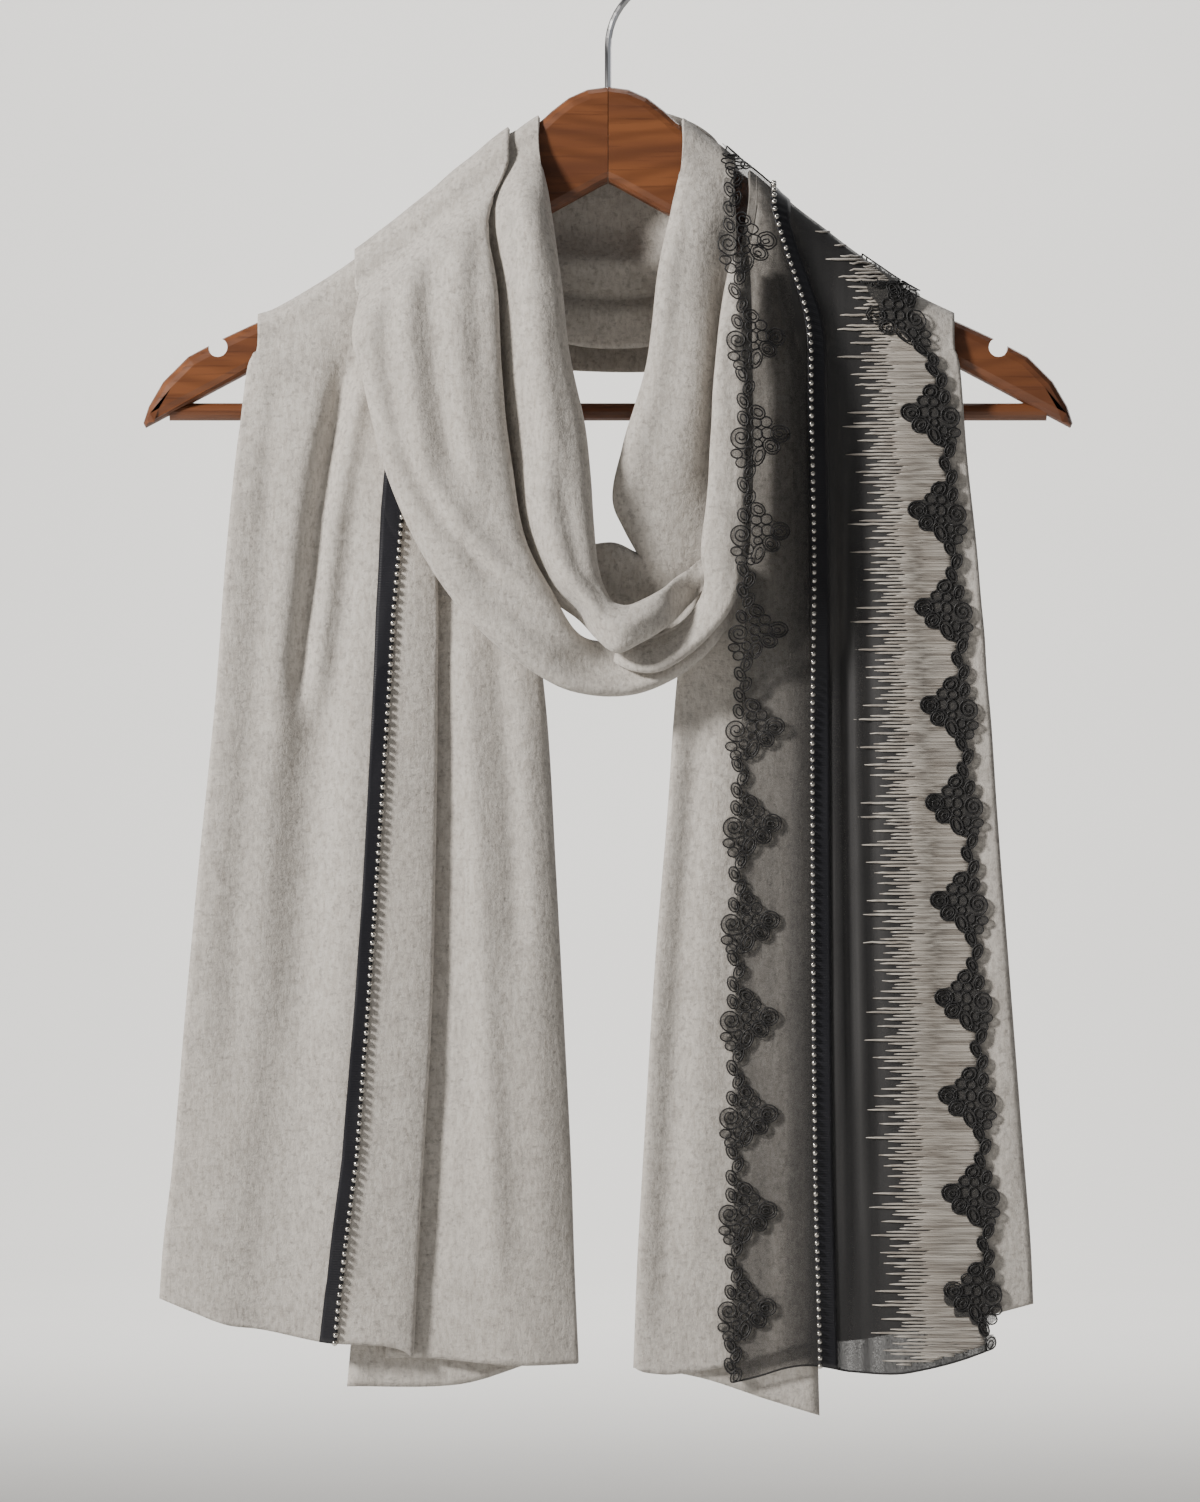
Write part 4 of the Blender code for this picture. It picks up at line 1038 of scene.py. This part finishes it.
def overlay_grid(right, front):
    """The overlay, made from the right tail's front and moved out; the loop lifts its left side."""
    middles = front.heights(OVERLAY_MIDDLE)
    shares = np.arange(-MARGIN, OVERLAY_COLUMNS + MARGIN) / (OVERLAY_COLUMNS - 1)
    points = np.empty((len(middles), len(shares), 3))
    hangs = over_the_arm(right)
    for k, height in enumerate(middles):
        chain, _, edge = table_at(OVERLAY, height)
        angle = math.radians(np.interp(right.row[k], range(ARM_ROWS), SHOULDER_ANGLES))
        out = np.array((0.0, math.sin(angle), SLOPE_STRETCH * math.cos(angle))) * OVER_CLOTH
        settled = smooth_ramp(right.row[k], 0, ARM_ROWS)
        over = 1.0 - hangs[k, 0]
        chain -= TO_THE_NECK * over
        left = front.points[k, 0, 0]
        hem = smooth_ramp(height, OVERLAY_HEM_START, HEM_FULL)
        for j, share in enumerate(shares):
            x = mix(chain, edge - LACE_INSET, share)
            point = front.at(k, x) + out
            point[1] += overlay_lift(x, chain, height) * settled
            point[2] += over * (arm_top(min(x, left)) - arm_top(left))
            point[2] += table_at(OVERLAY_HEM, x)[0] * hem
            points[k, j] = point
    points[..., 1] += relief(OVERLAY_CREASES, points[..., 0], points[..., 2]) * hangs
    wide = Front(points, Grid.of(points, right.row).normals())
    return Grid.of(points[:, MARGIN:-MARGIN], right.row, OVERLAY_COLUMNS // 2), wide


def strip_grid(front, rows, edges, columns, out):
    """A strip on a cloth's front; edges gives its left and right x at each row."""
    points = np.array(
        [[front.at(row, mix(left, right, share), out) for share in np.linspace(0, 1, columns)]
         for row, (left, right) in zip(rows, edges)]
    )
    return Grid.of(points, rows)


def bead_row(name, places):
    """Round beads on a row of places."""
    around, tall = 10, 7
    ball = [(0.0, 0.0, 1.0)]
    for ring in range(1, tall):
        a = math.pi * ring / tall
        for k in range(around):
            b = 2 * math.pi * k / around
            ball.append((math.sin(a) * math.cos(b), math.sin(a) * math.sin(b), math.cos(a)))
    ball.append((0.0, 0.0, -1.0))
    faces = [(0, 1 + k, 1 + (k + 1) % around) for k in range(around)]
    for ring in range(tall - 2):
        a, b = 1 + ring * around, 1 + (ring + 1) * around
        faces += [(a + k, b + k, b + (k + 1) % around, a + (k + 1) % around) for k in range(around)]
    last = 1 + (tall - 2) * around
    faces += [(len(ball) - 1, last + (k + 1) % around, last + k) for k in range(around)]
    shape = np.array(ball) * BEAD_RADIUS
    points, all_faces = [], []
    for place in places:
        start = len(points) * len(ball)
        points.append(shape + place)
        all_faces += [tuple(start + corner for corner in face) for face in faces]
    return piece(name, mesh_of(name, points, [face[::-1] for face in all_faces]), BEAD)


def spaced(line, pitch, offset):
    """Places a pitch apart on a line, as rows of it."""
    lengths = lengths_along(line)
    places = np.arange(offset, lengths[-1], pitch)
    return np.interp(places, lengths, np.arange(len(line)))


def tubes(name, paths, radius, look, sides=5, pointed=False):
    """Round cords along paths of (x, depth, z) points; pointed ones start thin."""
    points, faces = [], []
    start = 0
    for path in paths:
        path = np.asarray(path)
        along = np.gradient(path, axis=0)
        along /= np.maximum(np.linalg.norm(along, axis=1, keepdims=True), 1e-9)
        side = np.cross(along, OUT)
        side /= np.maximum(np.linalg.norm(side, axis=1, keepdims=True), 1e-9)
        up = np.cross(side, along)
        turns = np.linspace(0, 2 * math.pi, sides, endpoint=False)
        thick = np.full((len(path), 1, 1), radius)
        if pointed:
            thick[:2, 0, 0] *= (0.3, 0.85)
        ring = path[:, None] + thick * (
            side[:, None] * np.cos(turns)[None, :, None] + up[:, None] * np.sin(turns)[None, :, None]
        )
        points.append(ring.reshape(-1, 3))
        for i in range(len(path) - 1):
            a, b = start + i * sides, start + (i + 1) * sides
            faces += [(a + k, a + (k + 1) % sides, b + (k + 1) % sides, b + k) for k in range(sides)]
        faces.append(tuple(start + k for k in reversed(range(sides))))
        faces.append(tuple(start + (len(path) - 1) * sides + k for k in range(sides)))
        start += len(path) * sides
    return piece(name, mesh_of(name, np.concatenate(points), faces), look)


# A scalloped lace motif in mm: a to the inner side, b down, about the chain's middle
CORD_RADIUS = 0.40
SPIRAL = (-2.5, 0.4, 6.0, 0.9, 2.3)     # centre a, b; outer and inner radius; turns
# Rings round the spiral: centre a, b, half length, half width, degrees
RINGS = (
    (-1.6, -8.6, 3.6, 2.4, 70), (4.6, -6.6, 2.5, 2.2, 0), (5.2, -11.6, 3.9, 3.1, 35), (9.4, -7.0, 2.8, 2.5, 0),
    (5.0, -1.2, 2.5, 2.7, 0), (10.0, -1.6, 3.2, 2.7, 10), (5.4, 3.4, 2.0, 1.8, 0), (-4.6, 8.4, 2.8, 2.1, 10),
    (1.2, 7.4, 2.1, 2.4, 0), (5.6, 9.4, 5.0, 2.9, 110), (-2.4, 12.6, 2.6, 2.4, 0), (2.2, 13.2, 1.8, 1.6, 0),
)
PETALS = ((16.0, -1.4, 4.6, 4.2, 0), (11.8, 4.6, 4.3, 3.7, 35))
LINK_PITCH, LINK = 5.6, (1.5, 3.9, 2.4)      # side step, half length and half width of a chain's loop
MOTIF_END = 17.0                        # the chain takes over this far from a motif's middle
LACE_INSET = 9.6                        # from the overlay's right edge to the middle of the right chain
LACE_TAIL = 3.0                         # the last chain ends this far before the lace does
LEAST_CORD = 0.5                        # a cord that the lace's end squeezes under this size is left out
NET_CELL, NET_COLUMNS = 0.8, 9          # length of the net's cells along the lace, and columns across it
CORDS_OVER_NET = 0.3
LEFT_MOTIFS = (-153.6, -46.66, 12)      # height of the first, step, count
RIGHT_MOTIFS = (-188.8, -46.99, 11)


def ellipse(a, b, long, wide, degrees, steps=16):
    turn = math.radians(degrees)
    t = np.linspace(0, 2 * math.pi, steps + 1)
    u, v = long * np.cos(t), wide * np.sin(t)
    return np.stack([a + u * math.cos(turn) - v * math.sin(turn), b + u * math.sin(turn) + v * math.cos(turn)], axis=1)


def motif_cords():
    a, b, outer, inner, turns = SPIRAL
    t = np.linspace(0, 1, 44)
    radius = outer + (inner - outer) * t**0.8
    angle = math.radians(60) + 2 * math.pi * turns * t
    cords = [np.stack([a + radius * np.cos(angle), b + radius * np.sin(angle)], axis=1)]
    for a, b, long, wide, degrees in RINGS:
        cords.append(ellipse(a, b, long, wide, degrees, 12))
        if long > 3.4:
            cords.append(ellipse(a + 0.3, b, long * 0.6, wide * 0.55, degrees, 10))
    for a, b, long, wide, degrees in PETALS:
        cords.append(ellipse(a, b, long, wide, degrees))
        cords.append(ellipse(a, b, long * 0.72, wide * 0.68, degrees, 14))
        cords.append(ellipse(a - 0.5, b + 0.3, long * 0.36, wide * 0.3, degrees, 8))
    return cords


def chain_loops(start, end, first):
    """Interlaced loops between two motifs."""
    loops = []
    count = max(1, int(round((end - start) / LINK_PITCH)))
    for k in range(count + 1):
        b = start + (end - start) * k / count
        way = 1 if (k + first) % 2 else -1
        loops.append(ellipse(way * LINK[0], b, LINK[1], LINK[2], 90 + way * 24, 12))
        loops.append(ellipse(way * LINK[0], b, LINK[1] * 0.55, LINK[2] * 0.5, 90 + way * 24, 8))
    return loops


def lace_shapes(centres, length):
    """The cords of a lace: each line, and the place along the lace that its b counts from."""
    shapes = []
    for k, centre in enumerate(centres):
        shapes += [(cord, centre) for cord in motif_cords()]
        following = centres[k + 1] if k + 1 < len(centres) else length + MOTIF_END - LACE_TAIL
        if following - centre > 2 * MOTIF_END:
            shapes += [(loop, 0.0) for loop in chain_loops(centre + MOTIF_END, following - MOTIF_END, k)]
    return shapes


def lace(name, front, edge_line, way, motifs, out, net_look, node_name):
    """Cords and net of a scalloped border along an edge, out from a front; way is where its motifs point."""
    heights = edge_line[:, 2]
    lengths = lengths_along(edge_line)
    rows = np.arange(len(heights), dtype=float)
    top = int(np.argmax(heights))
    first, step, count = motifs
    centres = [
        float(np.interp(-(first + step * k), -heights[top + 1 :], lengths[top + 1 :])) for k in range(-1, count)
    ]

    def edge_at(length):
        row = float(np.interp(length, lengths, rows))
        return (row, *(float(np.interp(row, rows, edge_line[:, axis])) for axis in (0, 2)))

    low, high = np.zeros((2, int(lengths[-1] / NET_CELL) + 2))      # the net's reach to both sides, in each cell
    paths = []
    for shape, centre in lace_shapes(centres, lengths[-1]):
        path = []
        for a, b in shape:
            row, x, z = edge_at(centre + b)
            x += way * a
            path.append(front.at(front.row_at(x, z) if row > top else row, x, out + CORDS_OVER_NET))
        for (a, b), (c, d) in zip(shape, shape[1:]):
            for t in (0.0, 0.25, 0.5, 0.75):
                cell = int(min(max(centre + b + (d - b) * t, 0.0), lengths[-1]) / NET_CELL)
                low[cell] = min(low[cell], mix(a, c, t))
                high[cell] = max(high[cell], mix(a, c, t))
        if len(path) > 2 and np.ptp(path, axis=0)[1:].sum() > LEAST_CORD:
            paths.append(path)
    tubes(name + "_cords", paths, CORD_RADIUS, CORD)
    for k in range(1, len(low) - 1):
        if high[k] == 0.0:
            low[k], high[k] = low[k - 1], high[k - 1]
    edges, places = [], []
    for k in range(len(low) - 1):
        row, x, _ = edge_at((k + 0.5) * NET_CELL)
        edges.append(sorted((x + way * low[k], x + way * high[k])))
        places.append(row)
    net = strip_grid(front, np.array(places), edges, NET_COLUMNS, out)
    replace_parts(piece(name, net.mesh(name), net_look), node_name)


# Satin stitches: level threads across the right part of the overlay. Every second one reaches further
# left, as a comb of uneven teeth; the longest teeth repeat.
STITCH_PITCH = 0.84
THREAD_RADIUS, TOOTH_RADIUS = 0.45, 0.60
STITCH_FIRST, STITCH_END = -116.0, -700.0
STITCH_BASE = ((-116, 104), (-130, 112), (-151, 122), (-185, 130), (-235, 133), (-300, 137), (-450, 142), (-700, 148))
STITCH_TEETH = 28                       # in a repeat
LONG_TEETH = {0: 20.0, 5: 15.0, 8: 14.0, 16: 18.0, 19: 14.0, 20: 20.0, 24: 14.0}
FIRST_TOOTH = 3                         # where the repeat starts at the top
STITCH_UNDER_LACE = 0.5                 # the threads end this far inside the lace's chain
THREAD_POINTS = 13
THREAD_OUT, THREAD_DIP = 0.45, 0.5      # a thread's middle over the overlay, and how far its point sinks in
END_WANDER, LEVEL_WANDER = 2.4, 0.35    # of a thread's right end, and up and down along it


def tooth_reach(number):
    """How far to the left of the base line a thread reaches."""
    jitter = noise.noise(Vector((number * 0.73, 3.1, 0.0)))
    if number % 2:
        return -3.2 + 9.0 * jitter
    tooth = (number // 2) % STITCH_TEETH
    return LONG_TEETH.get(tooth, 7.0 + 4.4 * math.sin(2.4 * tooth)) + 4.0 * jitter


def stitches(front, right_edge):
    """Level threads from the teeth to the right lace, in front of the arm and behind it."""
    heights = right_edge[:, 2]
    below = int(np.argmax(heights))
    teeth, threads = [], []
    for k in range(int((STITCH_FIRST - STITCH_END) / STITCH_PITCH)):
        number = k + FIRST_TOOTH
        height = STITCH_FIRST - STITCH_PITCH * k
        left = table_at(STITCH_BASE, height)[0] - tooth_reach(number)
        right = float(np.interp(-height, -heights[below:], right_edge[below:, 0])) - STITCH_UNDER_LACE
        right += END_WANDER * noise.noise(Vector((k * 0.31, 0.0, 5.0)))
        wander = LEVEL_WANDER * noise.noise(Vector((k * 0.9, 8.0, 0.0)))
        xs = np.linspace(left, right, THREAD_POINTS)
        for behind in (False, True):
            path = []
            for n, x in enumerate(xs):
                level = height + wander * math.sin(2.2 * n + k)
                row = front.row_at(x, level, behind)
                reached, top = front.known[round(x)]
                if level < reached[top] - 0.2 and 0.5 < row < len(front.points) - 2.5:
                    path.append(front.at(row, x, THREAD_OUT))
            if len(path) > 2:
                path[0] = path[0] - OUT * (-THREAD_DIP if behind else THREAD_DIP)
                (threads if number % 2 else teeth).append(path)
    tubes("stitch_teeth", teeth, TOOTH_RADIUS, SILK, pointed=True)
    tubes("stitch_threads", threads, THREAD_RADIUS, SILK, pointed=True)


def beaded_ribbon(side, front, rows, edges, beads, heights, first_bead):
    """A ribbon with its row of beads; edges and beads give x at the rows, heights those over the front."""
    rows = np.array(rows, float)
    ribbon = strip_grid(front, rows, edges, RIBBON_COLUMNS, heights[0])
    made = piece("satin_" + side, ribbon.mesh("satin_" + side), SATIN, RIBBON_WALL)
    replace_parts(made, "ribbon_" + side)
    line = np.array([front.at(row, x) for row, x in zip(rows, beads)])
    places = []
    for number in spaced(line, BEAD_PITCH, first_bead):
        row, x = (float(np.interp(number, range(len(rows)), values)) for values in (rows, beads))
        places.append(front.at(row, x, heights[1] + BEAD_RADIUS * BEAD_STANDS))
    bead_row("beads_" + side, places)


def left_ribbon(left):
    front = front_of(left, 0, 5.2)
    heights = front.heights(-115.0)
    rows = [k for k, height in enumerate(heights) if height < LEFT_RIBBON[0][0] + 4 and left.row[k] > ARM_ROWS]
    ribbon = [table_at(LEFT_RIBBON, heights[k]) for k in rows]
    edges = [(near, far + BRAID) for near, far in ribbon]
    beads = [far + BEADS_BESIDE for _, far in ribbon]
    beaded_ribbon("left", front, rows, edges, beads, (OVER_RIBBON, WALL / 2 + 0.6), 1.0)


def trims(left, right):
    left_ribbon(left)
    tail_front = front_of(right, 0, 7.5)
    overlay, front = overlay_grid(right, tail_front)
    sheer = piece("sheer_overlay", overlay.mesh("sheer_overlay"), SHEER)
    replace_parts(sheer, "sheer_panel")
    lace("lace_border_left", front, overlay.points[:, 0], 1, LEFT_MOTIFS, 0.5, NET_LEFT, "lace_left")
    lace("lace_border_right", front, overlay.points[:, -1], -1, RIGHT_MOTIFS, 1.1, NET_RIGHT, "lace_right")
    stitches(front, overlay.points[:, -1])
    tubes("overlay_hem", [overlay.points[-1]], 0.5, CORD)
    beads = [table_at(OVERLAY, height)[1] for height in overlay.points[:, 0, 2]]
    edges = [(x - BRAID + BEADS_BESIDE, x + RIGHT_RIBBON_END) for x in beads]
    beaded_ribbon("right", front, range(len(beads)), edges, beads, (0.6, 0.7), 2.0)


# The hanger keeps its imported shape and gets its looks


def hanger_finish():
    looks = {"hanger_arm_left": WOOD_LEFT, "hanger_arm_right": WOOD_RIGHT, "trouser_bar": WOOD_BAR, "hook": CHROME}
    for name, look in looks.items():
        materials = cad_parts[name].data.materials
        materials.clear()
        materials.append(look)


# Room, lights and camera

FLOOR_HEIGHT = -1.02
FRAME_CENTRE = (-0.0039, -0.3975)       # x and z at the middle of the photograph
FRAME_HEIGHT = 0.724                    # of the photograph, at the scarf
CAMERA_DISTANCE = 4.2
SCARF_DEPTH = -0.014                    # y of the scarf's front
ROOM_BACK, ROOM_FRONT = 8.0, -12.0      # y of the wall, and of the floor's front end
ROOM_HALF, WALL_TOP = 16.0, 9.0
CURVE, CURVE_STEPS = 2.0, 16            # radius of the bend from the floor to the wall


def room():
    pale = Look("pale_floor", (0.74, 0.73, 0.71), 0.85)
    pale.colour(pale.tint(pale.noise(pale.place(), 3.0, detail=4.0), (0.76, 0.75, 0.73), (0.72, 0.71, 0.69)))
    bend = ROOM_BACK - CURVE
    profile = [(ROOM_FRONT, FLOOR_HEIGHT), (bend, FLOOR_HEIGHT)]
    for step in range(1, CURVE_STEPS + 1):
        turn = math.pi / 2 * step / CURVE_STEPS
        profile.append((bend + CURVE * math.sin(turn), FLOOR_HEIGHT + CURVE * (1 - math.cos(turn))))
    profile.append((ROOM_BACK, WALL_TOP))
    points = [(x, y, z) for y, z in profile for x in (-ROOM_HALF, ROOM_HALF)]
    faces = [(2 * k, 2 * k + 1, 2 * k + 3, 2 * k + 2) for k in range(len(profile) - 1)]
    mesh = bpy.data.meshes.new("floor")
    mesh.from_pydata(points, [], faces)
    mesh.materials.append(pale.material)
    mesh.shade_smooth()
    floor = bpy.data.objects.new("floor", mesh)
    bpy.context.scene.collection.objects.link(floor)


def area_light(name, place, target, size, power, colour):
    light = bpy.data.lights.new(name, "AREA")
    light.shape = "DISK"
    light.size = size
    light.energy = power
    light.color = colour
    thing = bpy.data.objects.new(name, light)
    thing.location = place
    thing.rotation_euler = (Vector(target) - Vector(place)).to_track_quat("-Z", "Y").to_euler()
    bpy.context.scene.collection.objects.link(thing)


def lights_and_camera():
    scene = bpy.context.scene
    middle = (0.0, 0.0, -0.36)
    area_light("key", (-2.0, -1.3, 0.8), middle, 0.5, 105, (1.0, 0.965, 0.92))
    area_light("fill", (2.2, -2.4, 0.1), middle, 2.4, 4, (0.93, 0.96, 1.0))
    area_light("top", (0.2, 0.5, 1.5), middle, 1.2, 9, (1.0, 0.99, 0.97))
    area_light("rear", (0.8, 1.6, 0.4), middle, 1.6, 6, (1.0, 1.0, 1.0))
    area_light("backdrop", (0.0, 4.8, 2.4), (0.0, 8.0, -0.4), 3.0, 300, (1.0, 0.99, 0.97))
    world = bpy.data.worlds.new("studio")
    scene.world = world
    world.use_nodes = True
    world.node_tree.nodes["Background"].inputs["Color"].default_value = (0.90, 0.92, 0.95, 1.0)
    world.node_tree.nodes["Background"].inputs["Strength"].default_value = 0.08
    camera = bpy.data.cameras.new("camera")
    camera.sensor_fit = "VERTICAL"
    camera.sensor_height = 36.0
    camera.lens = camera.sensor_height * CAMERA_DISTANCE / FRAME_HEIGHT
    camera.clip_end = 60.0
    thing = bpy.data.objects.new("camera", camera)
    thing.location = (FRAME_CENTRE[0], SCARF_DEPTH - CAMERA_DISTANCE, FRAME_CENTRE[1])
    thing.rotation_euler = (math.pi / 2, 0.0, 0.0)
    scene.collection.objects.link(thing)
    scene.camera = thing


def main():
    left, right = left_tail_grid(), right_tail_grid()
    wool_pieces(left, right)
    trims(left, right)
    hanger_finish()
    room()
    lights_and_camera()


main()
